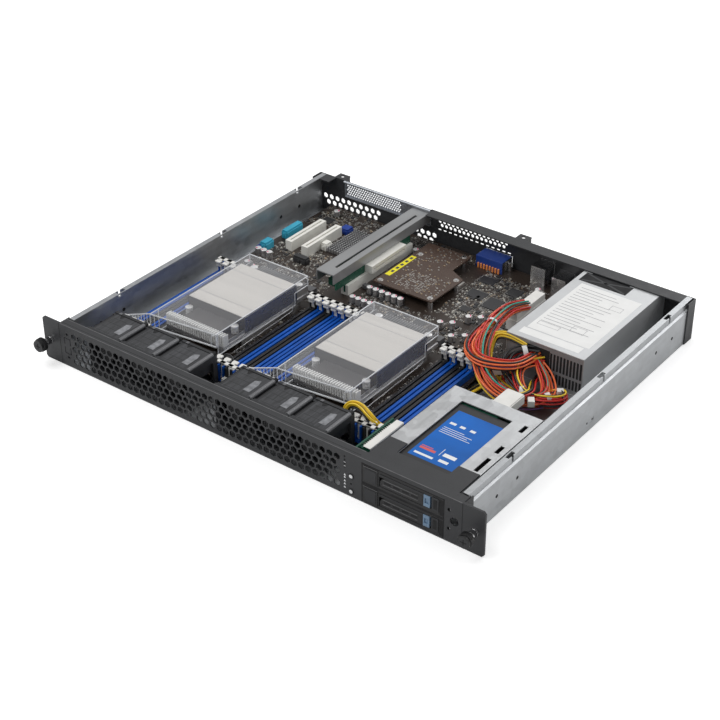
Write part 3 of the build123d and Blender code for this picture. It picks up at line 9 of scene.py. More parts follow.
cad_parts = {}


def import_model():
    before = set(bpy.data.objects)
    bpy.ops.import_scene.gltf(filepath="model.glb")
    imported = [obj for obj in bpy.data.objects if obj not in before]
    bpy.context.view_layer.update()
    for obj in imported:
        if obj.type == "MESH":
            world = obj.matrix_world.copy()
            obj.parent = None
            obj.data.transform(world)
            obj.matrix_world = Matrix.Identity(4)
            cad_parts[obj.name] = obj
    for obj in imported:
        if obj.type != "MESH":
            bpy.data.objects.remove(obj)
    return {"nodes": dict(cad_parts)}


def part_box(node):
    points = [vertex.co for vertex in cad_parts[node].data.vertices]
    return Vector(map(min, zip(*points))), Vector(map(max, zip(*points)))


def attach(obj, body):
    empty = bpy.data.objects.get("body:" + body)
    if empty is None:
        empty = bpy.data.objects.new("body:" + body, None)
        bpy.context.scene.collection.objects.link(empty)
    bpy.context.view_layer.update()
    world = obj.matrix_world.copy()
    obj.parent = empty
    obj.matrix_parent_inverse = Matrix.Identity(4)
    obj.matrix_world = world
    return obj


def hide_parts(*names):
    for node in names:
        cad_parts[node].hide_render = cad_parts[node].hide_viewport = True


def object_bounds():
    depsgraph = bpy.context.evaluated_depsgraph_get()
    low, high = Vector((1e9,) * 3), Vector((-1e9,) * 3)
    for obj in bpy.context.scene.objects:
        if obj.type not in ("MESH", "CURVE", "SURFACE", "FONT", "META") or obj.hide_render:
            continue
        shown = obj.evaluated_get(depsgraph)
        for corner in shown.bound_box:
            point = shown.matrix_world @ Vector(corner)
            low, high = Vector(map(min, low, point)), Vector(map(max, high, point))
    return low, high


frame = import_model()
CAD_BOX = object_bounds()
MM = 0.001
ROOT = "chassis"
random.seed(7)


# Materials

def node_material(name):
    """An empty node material with its Principled shader."""
    material = bpy.data.materials.new(name)
    material.use_nodes = True
    tree = material.node_tree
    return material, tree, tree.nodes["Principled BSDF"]


def link(tree, a, b):
    tree.links.new(a, b)


def coordinates(tree, stretch=(1, 1, 1)):
    """Object coordinates, stretched along the grain."""
    source = tree.nodes.new("ShaderNodeTexCoord")
    mapping = tree.nodes.new("ShaderNodeMapping")
    mapping.inputs["Scale"].default_value = stretch
    link(tree, source.outputs["Object"], mapping.inputs["Vector"])
    return mapping.outputs["Vector"]


def noise(tree, vector, scale, detail=3.0):
    node = tree.nodes.new("ShaderNodeTexNoise")
    node.inputs["Scale"].default_value = scale
    node.inputs["Detail"].default_value = detail
    link(tree, vector, node.inputs["Vector"])
    return node.outputs["Fac"]


def ramp(tree, value, low, high, a, b):
    """Colours a to b while the value goes from low to high."""
    node = tree.nodes.new("ShaderNodeValToRGB")
    first, last = node.color_ramp.elements
    first.position, last.position = low, high
    first.color, last.color = (*a, 1), (*b, 1)
    link(tree, value, node.inputs["Fac"])
    return node.outputs["Color"]


def spread(tree, value, low, high):
    """Maps the middle of a noise onto a range."""
    node = tree.nodes.new("ShaderNodeMapRange")
    node.inputs["From Min"].default_value = 0.3
    node.inputs["From Max"].default_value = 0.7
    node.inputs["To Min"].default_value = low
    node.inputs["To Max"].default_value = high
    link(tree, value, node.inputs["Value"])
    return node.outputs["Result"]


def bump(tree, shader, value, strength, depth):
    node = tree.nodes.new("ShaderNodeBump")
    node.inputs["Strength"].default_value = strength
    node.inputs["Distance"].default_value = depth
    link(tree, value, node.inputs["Height"])
    link(tree, node.outputs["Normal"], shader.inputs["Normal"])


def shade(color, factor):
    return tuple(min(1.0, c * factor) for c in color)


def finish(name, color, rough=0.5, metal=0.0, vary=0.12, patch=90.0, grain=900.0, relief=0.15,
           depth=0.0002, coat=0.0, stretch=(1, 1, 1), specular=0.5):
    """A surface with patches of tone, uneven gloss and a fine grain."""
    material, tree, shader = node_material(name)
    vector = coordinates(tree, stretch)
    large = noise(tree, vector, patch)
    fine = noise(tree, vector, grain, 2.0)
    tone = ramp(tree, large, 0.3, 0.7, shade(color, 1 - vary), shade(color, 1 + vary))
    link(tree, tone, shader.inputs["Base Color"])
    link(tree, spread(tree, large, rough * 0.85, min(1, rough * 1.15)), shader.inputs["Roughness"])
    shader.inputs["Metallic"].default_value = metal
    shader.inputs["Coat Weight"].default_value = coat
    shader.inputs["Specular IOR Level"].default_value = specular
    bump(tree, shader, fine, relief, depth)
    return material


def galvanised(name, color, rough=0.44):
    """Zinc-coated sheet: large soft crystals under faint rolling marks."""
    material, tree, shader = node_material(name)
    vector = coordinates(tree)
    cells = tree.nodes.new("ShaderNodeTexVoronoi")
    cells.inputs["Scale"].default_value = 140.0
    link(tree, vector, cells.inputs["Vector"])
    rolled = noise(tree, coordinates(tree, (1, 0.06, 1)), 260.0)
    mix = tree.nodes.new("ShaderNodeMix")
    mix.data_type = "FLOAT"
    mix.inputs["Factor"].default_value = 0.6
    grey = tree.nodes.new("ShaderNodeRGBToBW")
    link(tree, cells.outputs["Color"], grey.inputs["Color"])
    link(tree, grey.outputs["Val"], mix.inputs["A"])
    link(tree, rolled, mix.inputs["B"])
    tone = ramp(tree, mix.outputs["Result"], 0.25, 0.75, shade(color, 0.88), shade(color, 1.1))
    link(tree, tone, shader.inputs["Base Color"])
    rough_value = spread(tree, mix.outputs["Result"], rough * 0.8, rough * 1.2)
    link(tree, rough_value, shader.inputs["Roughness"])
    shader.inputs["Metallic"].default_value = 0.85
    bump(tree, shader, rolled, 0.06, 0.0002)
    return material


def clear_plastic(name, face, edge, tint):
    """Clear moulded plastic: see-through face on, milky and shiny at a slant."""
    material, tree, shader = node_material(name)
    shader.inputs["Base Color"].default_value = (*tint, 1)
    shader.inputs["Roughness"].default_value = 0.12
    weight = tree.nodes.new("ShaderNodeLayerWeight")
    weight.inputs["Blend"].default_value = 0.35
    haze = noise(tree, coordinates(tree), 35.0)
    veil = spread(tree, haze, face * 0.85, face * 1.15)
    alpha = tree.nodes.new("ShaderNodeMapRange")
    alpha.inputs["To Max"].default_value = edge
    link(tree, veil, alpha.inputs["To Min"])
    link(tree, weight.outputs["Facing"], alpha.inputs["Value"])
    link(tree, alpha.outputs["Result"], shader.inputs["Alpha"])
    return material


def printed_board(name, base, trace):
    """Solder resist over fine copper tracks and a speckle of pads."""
    material, tree, shader = node_material(name)
    vector = coordinates(tree)
    bricks = tree.nodes.new("ShaderNodeTexBrick")
    bricks.inputs["Scale"].default_value = 420.0
    bricks.inputs["Mortar Size"].default_value = 0.012
    bricks.inputs["Color1"].default_value = (*base, 1)
    bricks.inputs["Color2"].default_value = (*shade(base, 0.8), 1)
    bricks.inputs["Mortar"].default_value = (*trace, 1)
    link(tree, vector, bricks.inputs["Vector"])
    cells = tree.nodes.new("ShaderNodeTexVoronoi")
    cells.inputs["Scale"].default_value = 330.0
    link(tree, vector, cells.inputs["Vector"])
    spots = ramp(tree, cells.outputs["Distance"], 0.10, 0.16, (1, 1, 1), (0, 0, 0))
    where = noise(tree, vector, 60.0)
    zone = ramp(tree, where, 0.5, 0.56, (0, 0, 0), (1, 1, 1))
    both = tree.nodes.new("ShaderNodeMath")
    both.operation = "MULTIPLY"
    link(tree, spots, both.inputs[0])
    link(tree, zone, both.inputs[1])
    mix = tree.nodes.new("ShaderNodeMix")
    mix.data_type = "RGBA"
    link(tree, both.outputs["Value"], mix.inputs["Factor"])
    link(tree, bricks.outputs["Color"], mix.inputs["A"])
    mix.inputs["B"].default_value = (0.55, 0.52, 0.45, 1)
    link(tree, mix.outputs["Result"], shader.inputs["Base Color"])
    shader.inputs["Roughness"].default_value = 0.42
    bump(tree, shader, bricks.outputs["Fac"], 0.1, 0.0001)
    return material


M = {
    "galvanised": galvanised("galvanised_sheet", (0.50, 0.515, 0.53)),
    "galvanised_dark": galvanised("galvanised_sheet_dark", (0.40, 0.42, 0.45), 0.34),
    "bracket": finish("bracket_sheet", (0.36, 0.365, 0.37), 0.42, 0.55, vary=0.1, patch=40.0, stretch=(1, 0.2, 1)),
    "cage_sheet": galvanised("cage_sheet", (0.60, 0.61, 0.62)),
    "bright_zinc": galvanised("bright_zinc_sheet", (0.82, 0.83, 0.84), 0.30),
    "black_steel": finish("black_powder_coat", (0.030, 0.031, 0.034), 0.48, vary=0.1, grain=2600.0,
                          relief=0.35),
    "black_plastic": finish("black_plastic", (0.022, 0.022, 0.024), 0.5, grain=1800.0),
    "fan_plastic": finish("fan_plastic", (0.020, 0.021, 0.024), 0.5, vary=0.2, grain=1400.0),
    "fan_film": finish("fan_film", (0.036, 0.037, 0.041), 0.36, vary=0.55, patch=130.0,
                       stretch=(5.0, 0.5, 1)),
    "fan_rail": finish("fan_rail", (0.135, 0.137, 0.146), 0.32, vary=0.15, stretch=(1, 0.2, 1)),
    "fan_label": finish("fan_label", (0.21, 0.215, 0.23), 0.45, vary=0.35, patch=220.0),
    "knob": finish("knob_black", (0.009, 0.009, 0.010), 0.34, grain=2400.0),
    "tray": finish("tray_black", (0.012, 0.012, 0.013), 0.42, grain=2000.0),
    # painted highlight: a light grey for edges and folds where light catches them
    "edge": finish("painted_edge_highlight", (0.13, 0.13, 0.135), 0.34, vary=0.2),
    "spring": finish("spring_wire", (0.80, 0.80, 0.80), 0.30, 0.35, vary=0.06),
    "sink_side": finish("cooler_side", (0.020, 0.028, 0.085), 0.28, 0.5, stretch=(1, 0.2, 1)),
    "silk": finish("board_marks", (0.50, 0.49, 0.46), 0.5, vary=0.12),
    # painted shade: a darker copy of the supply's sheet for its front face
    "supply_front_painted_shade": finish("supply_front_painted_shade", (0.30, 0.30, 0.31), 0.45, 0.35, vary=0.06),
    "board": printed_board("main_board", (0.030, 0.020, 0.015), (0.085, 0.066, 0.052)),
    "card_green": printed_board("green_board", (0.010, 0.085, 0.050), (0.03, 0.16, 0.10)),
    "card_brown": printed_board("brown_board", (0.068, 0.040, 0.029), (0.13, 0.088, 0.066)),
    "aluminium": finish("brushed_aluminium", (0.66, 0.635, 0.60), 0.5, 0.25, vary=0.03,
                        stretch=(0.15, 3.0, 1), relief=0.08),
    "fin": finish("aluminium_fin", (0.55, 0.55, 0.56), 0.38, 0.9, vary=0.08),
    "steel": finish("bright_steel", (0.78, 0.78, 0.79), 0.24, 1.0, vary=0.06, relief=0.05),
    "clear": clear_plastic("clear_duct", 0.025, 0.22, (0.72, 0.73, 0.76)),
    # painted highlight: the duct's rims drawn whitish and less clear for the light caught on them
    "clear_edge_highlight": clear_plastic("clear_duct_painted_edge_highlight", 0.55, 0.85, (0.90, 0.92, 0.95)),
    "blue": finish("slot_blue", (0.004, 0.085, 0.42), 0.42, vary=0.15, specular=0.35),
    "slot_black": finish("slot_black", (0.016, 0.016, 0.018), 0.4, vary=0.12),
    "white": finish("white_nylon", (0.76, 0.75, 0.72), 0.45, vary=0.05),
    "cream": finish("cream_nylon", (0.66, 0.64, 0.57), 0.45, vary=0.06),
    "cream_light": finish("slot_cream", (0.80, 0.79, 0.74), 0.42, vary=0.04),
    "dark_blue": finish("header_blue", (0.012, 0.05, 0.30), 0.42, vary=0.1),
    # painted light: near-white fin fronts stand in for light on fins that lie in shade
    "front_fin_painted_light": finish("front_fin_painted_light", (0.78, 0.78, 0.77), 0.45, vary=0.08),
    # painted shade between the fins and pins of the coolers
    "fin_gap_shade": finish("painted_shade_between_fins", (0.050, 0.045, 0.045), 0.6, vary=0.2, stretch=(3, 0.2, 1)),
    "psu_skin": finish("supply_sheet", (0.58, 0.59, 0.60), 0.42, 0.4, vary=0.05, patch=30.0),
    "tie": clear_plastic("nylon_tie", 0.75, 0.95, (0.85, 0.86, 0.86)),
    "cyan": finish("cyan_plastic", (0.05, 0.42, 0.60), 0.42, vary=0.08),
    "vga_blue": finish("socket_blue", (0.015, 0.05, 0.26), 0.42, vary=0.08),
    "grey_blue": finish("catch_grey_blue", (0.16, 0.25, 0.36), 0.42, vary=0.12),
    "chip": finish("chip_epoxy", (0.030, 0.030, 0.032), 0.5, vary=0.15),
    "pad": finish("solder", (0.62, 0.60, 0.57), 0.32, 0.9, vary=0.15),
    "grey_part": finish("grey_part", (0.30, 0.30, 0.30), 0.45, vary=0.2),
    "tan": finish("ceramic_part", (0.34, 0.25, 0.16), 0.5, vary=0.2),
    "cap_side": finish("capacitor_can", (0.62, 0.62, 0.64), 0.28, 0.9, vary=0.05),
    "cap_top": finish("capacitor_top", (0.78, 0.78, 0.78), 0.35, 0.3, vary=0.05),
    "pink": finish("capacitor_mark", (0.72, 0.10, 0.22), 0.45, vary=0.08),
    "choke": finish("ferrite", (0.12, 0.12, 0.125), 0.55, vary=0.15),
    "yellow_label": finish("yellow_label", (0.82, 0.72, 0.02), 0.5, vary=0.05),
    # white labels; the same white also paints highlights on the cooler's fin tops
    "paper_and_fin_highlight": finish("white_label_and_fin_highlight", (0.80, 0.80, 0.79), 0.5, vary=0.03),
    "print": finish("label_print", (0.33, 0.33, 0.34), 0.5, vary=0.1),
    "ink": finish("dark_print", (0.05, 0.05, 0.055), 0.5, vary=0.1),
    "drive_blue": finish("drive_label_blue", (0.002, 0.115, 0.46), 0.42, specular=0.3, vary=0.18, patch=25.0),
    "drive_deep": finish("drive_label_deep", (0.008, 0.045, 0.30), 0.35, vary=0.15),
    "drive_red": finish("drive_label_red", (0.62, 0.10, 0.10), 0.4, vary=0.08),
    # painted shade: near-black in holes, slots, recesses and gaps
    "hollow_shade": finish("painted_shade_in_hollows", (0.008, 0.008, 0.009), 0.8),
    "lamp": finish("white_mark", (0.80, 0.81, 0.82), 0.4, vary=0.03),
    "w_black": finish("wire_black", (0.018, 0.018, 0.020), 0.38),
    "w_red": finish("wire_red", (0.60, 0.025, 0.02), 0.36),
    "w_orange": finish("wire_orange", (0.85, 0.17, 0.05), 0.36),
    "w_yellow": finish("wire_yellow", (0.85, 0.58, 0.03), 0.36),
    "w_teal": finish("wire_teal", (0.02, 0.32, 0.25), 0.36),
    "w_purple": finish("wire_purple", (0.18, 0.08, 0.24), 0.36),
    "w_blue": finish("wire_blue", (0.03, 0.16, 0.55), 0.36),
    "orange": finish("orange_plastic", (0.85, 0.30, 0.08), 0.45),
}


# Mesh building

class Piece:
    """Collects solids in millimetres and turns them into one object on a body."""

    def __init__(self, name):
        self.name = name
        self.bm = bmesh.new()
        self.materials = []

    def index(self, key):
        if key not in self.materials:
            self.materials.append(key)
        return self.materials.index(key)

    def paint(self, verts, key):
        number = self.index(key)
        for face in {f for v in verts for f in v.link_faces}:
            face.material_index = number

    def box(self, x, y, z, key, turn=None):
        made = bmesh.ops.create_cube(self.bm, size=1.0)["verts"]
        centre = Vector(((x[0] + x[1]) / 2, (y[0] + y[1]) / 2, (z[0] + z[1]) / 2))
        size = (abs(x[1] - x[0]), abs(y[1] - y[0]), abs(z[1] - z[0]), 1)
        matrix = Matrix.Translation(centre) @ (turn or Matrix()) @ Matrix.Diagonal(size)
        bmesh.ops.transform(self.bm, matrix=matrix, verts=made)
        self.paint(made, key)
        return made

    def rod(self, axis, a, b, centre, radius, key, sides=20, radius2=None):
        """A round bar along an axis from a to b, through the other two coordinates."""
        made = bmesh.ops.create_cone(self.bm, cap_ends=True, segments=sides, radius1=radius,
                                     radius2=radius if radius2 is None else radius2,
                                     depth=b - a)["verts"]
        middle = (a + b) / 2
        turns = {"x": Matrix.Rotation(math.pi / 2, 4, "Y"), "y": Matrix.Rotation(-math.pi / 2, 4, "X"),
                 "z": Matrix()}
        place = {"x": (middle, *centre), "y": (centre[0], middle, centre[1]), "z": (*centre, middle)}
        matrix = Matrix.Translation(place[axis]) @ turns[axis]
        bmesh.ops.transform(self.bm, matrix=matrix, verts=made)
        self.paint(made, key)
        return made

    def prism(self, points, low, high, key, axis="z"):
        """An outline carried between two limits of an axis."""
        def place(p, h):
            return {"z": (p[0], p[1], h), "y": (p[0], h, p[1]), "x": (h, p[0], p[1])}[axis]
        bottom = [self.bm.verts.new(place(p, low)) for p in points]
        top = [self.bm.verts.new(place(p, high)) for p in points]
        faces = [self.bm.faces.new(bottom[::-1]), self.bm.faces.new(top)]
        count = len(points)
        for i in range(count):
            j = (i + 1) % count
            faces.append(self.bm.faces.new((bottom[i], bottom[j], top[j], top[i])))
        number = self.index(key)
        for face in faces:
            face.material_index = number
        return bottom + top

    def done(self, body=ROOT, bevel=0.0, angle=35.0, segments=2):
        """Finishes the mesh, rides it on its body and returns the object."""
        bmesh.ops.recalc_face_normals(self.bm, faces=self.bm.faces)
        mesh = bpy.data.meshes.new(self.name)
        self.bm.to_mesh(mesh)
        self.bm.free()
        mesh.transform(Matrix.Scale(MM, 4))
        for key in self.materials:
            mesh.materials.append(M[key])
        for polygon in mesh.polygons:
            polygon.use_smooth = True
        mesh.set_sharp_from_angle(angle=math.radians(angle))
        piece = bpy.data.objects.new(self.name, mesh)
        bpy.context.scene.collection.objects.link(piece)
        if bevel:
            round_edges(piece, bevel, segments)
        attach(piece, body)
        return piece


def round_edges(piece, width, segments=2):
    """Small rounded edges, in millimetres."""
    modifier = piece.modifiers.new("edges", "BEVEL")
    modifier.width = width * MM
    modifier.segments = segments
    modifier.limit_method = "ANGLE"
    modifier.angle_limit = math.radians(40)
    modifier.harden_normals = False


def perforated(name, outline, holes, axis_y, thickness, key, hole_key=None):
    """A sheet in the XZ plane with holes, filled as a flat curve and thickened."""
    curve = bpy.data.curves.new(name, "CURVE")
    curve.dimensions = "2D"
    curve.fill_mode = "BOTH"
    curve.extrude = thickness * MM / 2
    for points in [outline] + holes:
        spline = curve.splines.new("POLY")
        spline.points.add(len(points) - 1)
        for point, (x, z) in zip(spline.points, points):
            point.co = (x * MM, z * MM, 0, 1)
        spline.use_cyclic_u = True
    flat = bpy.data.objects.new(name + "_flat", curve)
    bpy.context.scene.collection.objects.link(flat)
    mesh = bpy.data.meshes.new_from_object(flat)
    bpy.data.objects.remove(flat)
    mesh.transform(Matrix.Rotation(math.pi / 2, 4, "X"))
    mesh.transform(Matrix.Translation((0, axis_y * MM, 0)))
    mesh.materials.clear()
    mesh.materials.append(M[key])
    piece = bpy.data.objects.new(name, mesh)
    bpy.context.scene.collection.objects.link(piece)
    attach(piece, ROOT)
    return piece


def hexagon(x, z, r, turn=0.0):
    return [(x + r * math.cos(turn + k * math.pi / 3), z + r * math.sin(turn + k * math.pi / 3))
            for k in range(6)]


def limits(node):
    """A node's corners in millimetres: x, y and z spans."""
    low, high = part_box(node)
    return [(low[i] / MM, high[i] / MM) for i in range(3)]


# Finishes of the construction pieces

FINISH = {
    "chassis_tray": ("galvanised", 0.25), "front_bezel": ("black_steel", 0.3),
    "ear_left": ("black_steel", 0.4), "ear_right": ("black_steel", 0.4),
    "rear_panel": ("black_steel", 0.2), "motherboard": ("board", 0), "cpu_sockets": ("steel", 0.3),
    "memory_slots_blue": ("blue", 0.25), "memory_slots_black": ("slot_black", 0.25),
    "memory_latches_left_front": ("white", 0.4), "memory_latches_left_rear": ("white", 0.4),
    "memory_latches_right_front": ("white", 0.4), "memory_latches_right_rear": ("white", 0.4),
    "riser_bracket": ("bracket", 0.35), "riser_card": ("card_green", 0.1),
    "expansion_slots": ("cream_light", 0.3), "storage_connectors": ("cyan", 0.3),
    "chipset_heatsink": ("fin", 0.1), "mezzanine_card": ("card_brown", 0.1),
    "power_chokes": ("choke", 0.4), "rear_ports": ("steel", 0.2), "psu_case": ("psu_skin", 0.3),
    "psu_fan_frame": ("fan_plastic", 0.3), "psu_fan_rotor": ("black_plastic", 0.2),
    "drive_cage": ("cage_sheet", 0.25), "drive_backplane": ("card_green", 0.15),
    "control_board": ("card_green", 0.15), "power_button": ("black_plastic", 0.2),
    "locate_button": ("black_plastic", 0.2), "power_connectors": ("white", 0.3),
    "drive_upper": ("black_plastic", 0.3), "drive_lower": ("black_plastic", 0.3),
    "drive_tray_upper": ("tray", 0.3), "drive_tray_lower": ("tray", 0.3),
    "tray_latch_upper": ("grey_blue", 0.4), "tray_latch_lower": ("grey_blue", 0.4),
    "air_duct_left": ("clear", 0), "air_duct_right": ("clear", 0),
    "slot_cover": ("galvanised_dark", 0.2), "heatsink_screws": ("steel", 0.3),
    "thumbscrew_left": ("black_plastic", 0.3), "thumbscrew_right": ("black_plastic", 0.3),
    "heatsink_left": ("fin", 0), "heatsink_right": ("fin", 0),
    "main_loom": ("w_black", 0), "drive_loom": ("w_black", 0),
}


def dress_nodes():
    """Gives every construction piece its finish and small rounded edges."""
    for name, node in frame["nodes"].items():
        key, width = FINISH.get(name, ("black_plastic", 0.3))
        if name.startswith("fan_frame"):
            key = "fan_plastic"
        node.data.materials.clear()
        node.data.materials.append(M[key])
        if width:
            round_edges(node, width)


dress_nodes()


# Fans

def fan_tops():
    """Recessed film, lips, rail, label and notch on top of each front fan, with painted shade at the rail's end, in
    the side recess and in the notch.
    """
    for side in ("left", "right"):
        for number in (1, 2, 3):
            x, y, z = limits(f"fan_frame_{side}_{number}")
            top = z[1]
            piece = Piece(f"fan_top_{side}_{number}")
            left, right = x
            front, rear = y
            piece.box((left + 5, right - 4.6), (front + 3, rear - 3.4), (top - 0.2, top + 0.35), "fan_film")
            piece.box((left, right), (front, front + 2.4), (top - 1, top + 1.3), "fan_plastic")
            piece.box((left + 1, right - 1), (rear - 3, rear), (top - 1, top + 0.9), "fan_plastic")
            piece.rod("y", front + 2.6, rear - 3, (right - 2.4, top + 0.1), 2.0, "fan_rail", 16)
            # painted shade at the rail's end and in the side recess
            piece.rod("y", rear - 3.4, rear + 0.3, (right - 2.4, top + 0.1), 2.1, "hollow_shade", 12)
            piece.box((left + 0.8, left + 4.6), (front + 3.4, rear - 4), (top - 3, top - 0.7), "hollow_shade")
            label = [(right - 15.5, front + 9), (right - 8.5, front + 9), (right - 8.5, front + 22),
                     (right - 10.5, front + 28), (right - 15.5, front + 25.5)]
            piece.prism(label, top + 0.35, top + 0.6, "fan_label")
            # painted shade in the notch
            notch = [(left + 9, rear - 3.4), (left + 15, rear - 3.4), (left + 12, rear - 8)]
            piece.prism(notch, top + 0.1, top + 0.55, "hollow_shade")
            for i in range(4):
                y0 = front + 5 + 7.5 * i
                piece.box((left + 6, right - 17), (y0, y0 + 0.6), (top + 0.3, top + 0.42), "fan_plastic")
            piece.box((left + 6, left + 9), (rear - 3.2, rear - 0.4), (top + 0.8, top + 1.2), "fan_rail")
            piece.done(bevel=0.2)


fan_tops()


# Coolers and ducts

SINK_CENTRES = (-132.0, 19.0)
SINK_HALF = 35.0


def strut(piece, a, b, width, height, key):
    """A straight bar of rectangular section between two points in millimetres."""
    a, b = Vector(a), Vector(b)
    run = b - a
    middle = (a + b) / 2
    turn = run.to_track_quat("X", "Z").to_matrix().to_4x4()
    piece.box((middle.x - run.length / 2, middle.x + run.length / 2),
              (middle.y - width / 2, middle.y + width / 2), (middle.z - height / 2, middle.z + height / 2),
              key, turn)


def cooler(name, x, node):
    """Fine-finned cooler under its duct, in place of the simple one, with painted light on the fin fronts and tops and
    painted shade between the fins and under the top plate's front edge.
    """
    (x0, x1), (y0, y1), (z0, z1) = limits(node)
    piece = Piece(name)
    base = z0 + 4
    piece.box((x0, x1), (y0, y1), (z0, base), "fin")
    count = 26
    pitch = (x1 - x0 - 1.2) / (count - 1)
    shoulder = z0 + 15.0
    for i in range(count):
        fx = x0 + i * pitch
        screws = any(abs(fx - (x + s * 28)) < 4.4 for s in (-1, 1))
        # painted light on the fin fronts
        piece.box((fx, fx + 1.15), (y0, y0 + 7), (base - 3.8, shoulder), "front_fin_painted_light")
        # painted highlight on the fin tops
        piece.box((fx, fx + 1.1), (y0 + 0.2, y0 + 4.6), (shoulder - 0.9, shoulder + 0.4), "paper_and_fin_highlight")
        piece.box((fx, fx + 0.45), (y0 + 7, 115.5), (base, base + (1.0 if screws else 4.0)), "fin")
        spans = [(190, y1)] if not screws else [(190, 197.4)]
        for a, b in spans:
            piece.box((fx, fx + 0.45), (a, b), (base, shoulder), "fin")
        piece.box((fx, fx + 0.45), (115.5, 189.5), (base, z1 - 0.9), "fin")
    # painted shade between the fins behind their fronts
    piece.box((x0 + 11.5, x1 - 11.5), (y0 + 7, 115.2), (base, shoulder - 4.0), "fin_gap_shade")
    piece.box((x0 + 1, x1 - 1), (y0 + 7, 115.2), (base, base + 1.4), "fin_gap_shade")
    plate = z1 - 0.8
    piece.box((x0 + 1.5, x1 - 1.5), (114.8, 190), (plate, z1 - 0.1), "aluminium")
    for y in (129.0, 176.0):
        piece.box((x0 + 1.7, x1 - 1.7), (y - 0.3, y + 0.3), (z1 - 0.3, z1 - 0.05), "fin")
    # painted shade under the front edge of the top plate
    piece.box((x0 + 1.3, x1 - 1.3), (115.0, 115.6), (base, plate), "fin_gap_shade")
    for edge in (x0 - 0.05, x1 - 0.55):
        piece.box((edge, edge + 0.6), (115, 190), (base, plate), "sink_side")
    made = piece.done()
    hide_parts(node)


def spring_screws():
    """Domed screws with coil springs at the corners of both coolers."""
    piece = Piece("cooler_screws")
    for x in SINK_CENTRES:
        for sx in (-28, 28):
            for y in (108.0, 202.0):
                cx = x + sx
                piece.rod("z", 9, 30, (cx, y), 1.5, "steel", 16)
                piece.rod("z", 29.2, 30.6, (cx, y), 3.7, "spring", 20)
                piece.rod("z", 30.6, 31.0, (cx, y), 3.7, "spring", 20, 2.6)
                piece.rod("z", 20.9, 22.0, (cx, y), 3.6, "spring", 20)
                turns, steps = 4, 18
                for i in range(turns * steps):
                    a = 2 * math.pi * i / steps
                    z = 22.2 + 6.8 * i / (turns * steps)
                    p = Vector((cx + 3.0 * math.cos(a), y + 3.0 * math.sin(a), z))
                    turn = Matrix.Rotation(a, 4, "Z")
                    piece.box((p.x - 0.42, p.x + 0.42), (p.y - 0.62, p.y + 0.62), (z - 0.42, z + 0.42),
                              "spring", turn)
    made = piece.done()
    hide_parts("heatsink_screws")


def duct_trim(name, x):
    """Moulded edges, wing ribs and the arched corner of a clear duct, drawn whitish as painted highlights."""
    left, right = x - 36.6, x + 36.6
    start, turn, end = 64.0, 73.0, 206.0
    top, low = 40.6, 27.4
    key = "clear_edge_highlight"
    piece = Piece(name)
    inner_l, inner_r = left + 0.45, right - 0.45
    corners = [(inner_l, start + 0.5, top), (inner_r, turn + 0.4, top), (inner_r, end - 0.45, top),
               (inner_l, end - 0.45, top)]
    for i in range(4):
        strut(piece, corners[i], corners[(i + 1) % 4], 0.9, 0.8, key)
    strut(piece, (inner_l, start + 0.4, low), (inner_r, turn + 0.3, low), 1.3, 1.2, key)
    strut(piece, (inner_l, start + 1.6, top - 1.6), (inner_r, turn + 1.4, top - 1.6), 0.5, 0.4, key)
    strut(piece, (inner_l, start + 0.5, low), (inner_l, start + 0.5, top), 0.9, 0.9, key)
    strut(piece, (inner_r, turn + 0.5, low), (inner_r, turn + 0.5, top), 1.1, 1.1, key)
    strut(piece, (left + 5.0, start + 1.2, low), (left + 5.0, start + 1.2, top), 0.7, 0.7, key)
    arch = [(right - 6.0, low), (right - 6.0, top - 4.5), (right - 5.0, top - 2.4), (right - 3.2, top - 1.4),
            (right - 1.6, top - 1.2)]
    for a, b in zip(arch, arch[1:]):
        strut(piece, (a[0], turn - 0.2, a[1]), (b[0], turn - 0.1, b[1]), 0.9, 0.9, key)
    tip = left - 33.7
    strut(piece, (tip, start + 0.5, low), (left, start + 0.5, top), 1.0, 0.9, key)
    strut(piece, (tip, start + 0.5, low), (left, start + 0.5, low), 1.0, 0.9, key)
    for i in range(1, 9):
        rx = tip + i * 3.75
        rise = low + (top - low) * (rx - tip) / (left - tip)
        strut(piece, (rx, start + 0.5, low), (rx, start + 0.5, rise), 0.8, 0.5, key)
    for edge in (inner_l, inner_r):
        strut(piece, (edge, 75.4, 17.9), (edge, 75.4, top), 0.9, 0.8, key)
        strut(piece, (edge, 75.0, 17.9), (edge, 186.0, 17.9), 0.9, 0.7, key)
        strut(piece, (edge, 185.6, 17.9), (edge, 185.6, 31.0), 0.9, 0.8, key)
        strut(piece, (edge, 186.0, 30.9), (edge, end, 30.9), 0.9, 0.7, key)
        strut(piece, (edge, end - 0.45, 30.9), (edge, end - 0.45, top), 0.9, 0.8, key)
    made = piece.done(bevel=0.15)


def lever_wires():
    """Bright load levers beside the processor sockets, locked under the coolers."""
    piece = Piece("socket_levers")
    for x in SINK_CENTRES:
        for side in (-1, 1):
            lx = x + side * 38.6
            strut(piece, (lx, 92, 13.0), (lx, 178, 15.5), 0.9, 0.9, "steel")
            strut(piece, (lx, 92, 13.0), (lx - side * 6, 88, 11.5), 0.9, 0.9, "steel")
            strut(piece, (lx, 178, 15.5), (lx, 181, 19.5), 0.9, 0.9, "steel")
    piece.done()


lever_wires()
for cx, side in zip(SINK_CENTRES, ("left", "right")):
    cooler(f"cooler_{side}", cx, f"heatsink_{side}")
    duct_trim(f"duct_trim_{side}", cx)
spring_screws()


# Board furniture

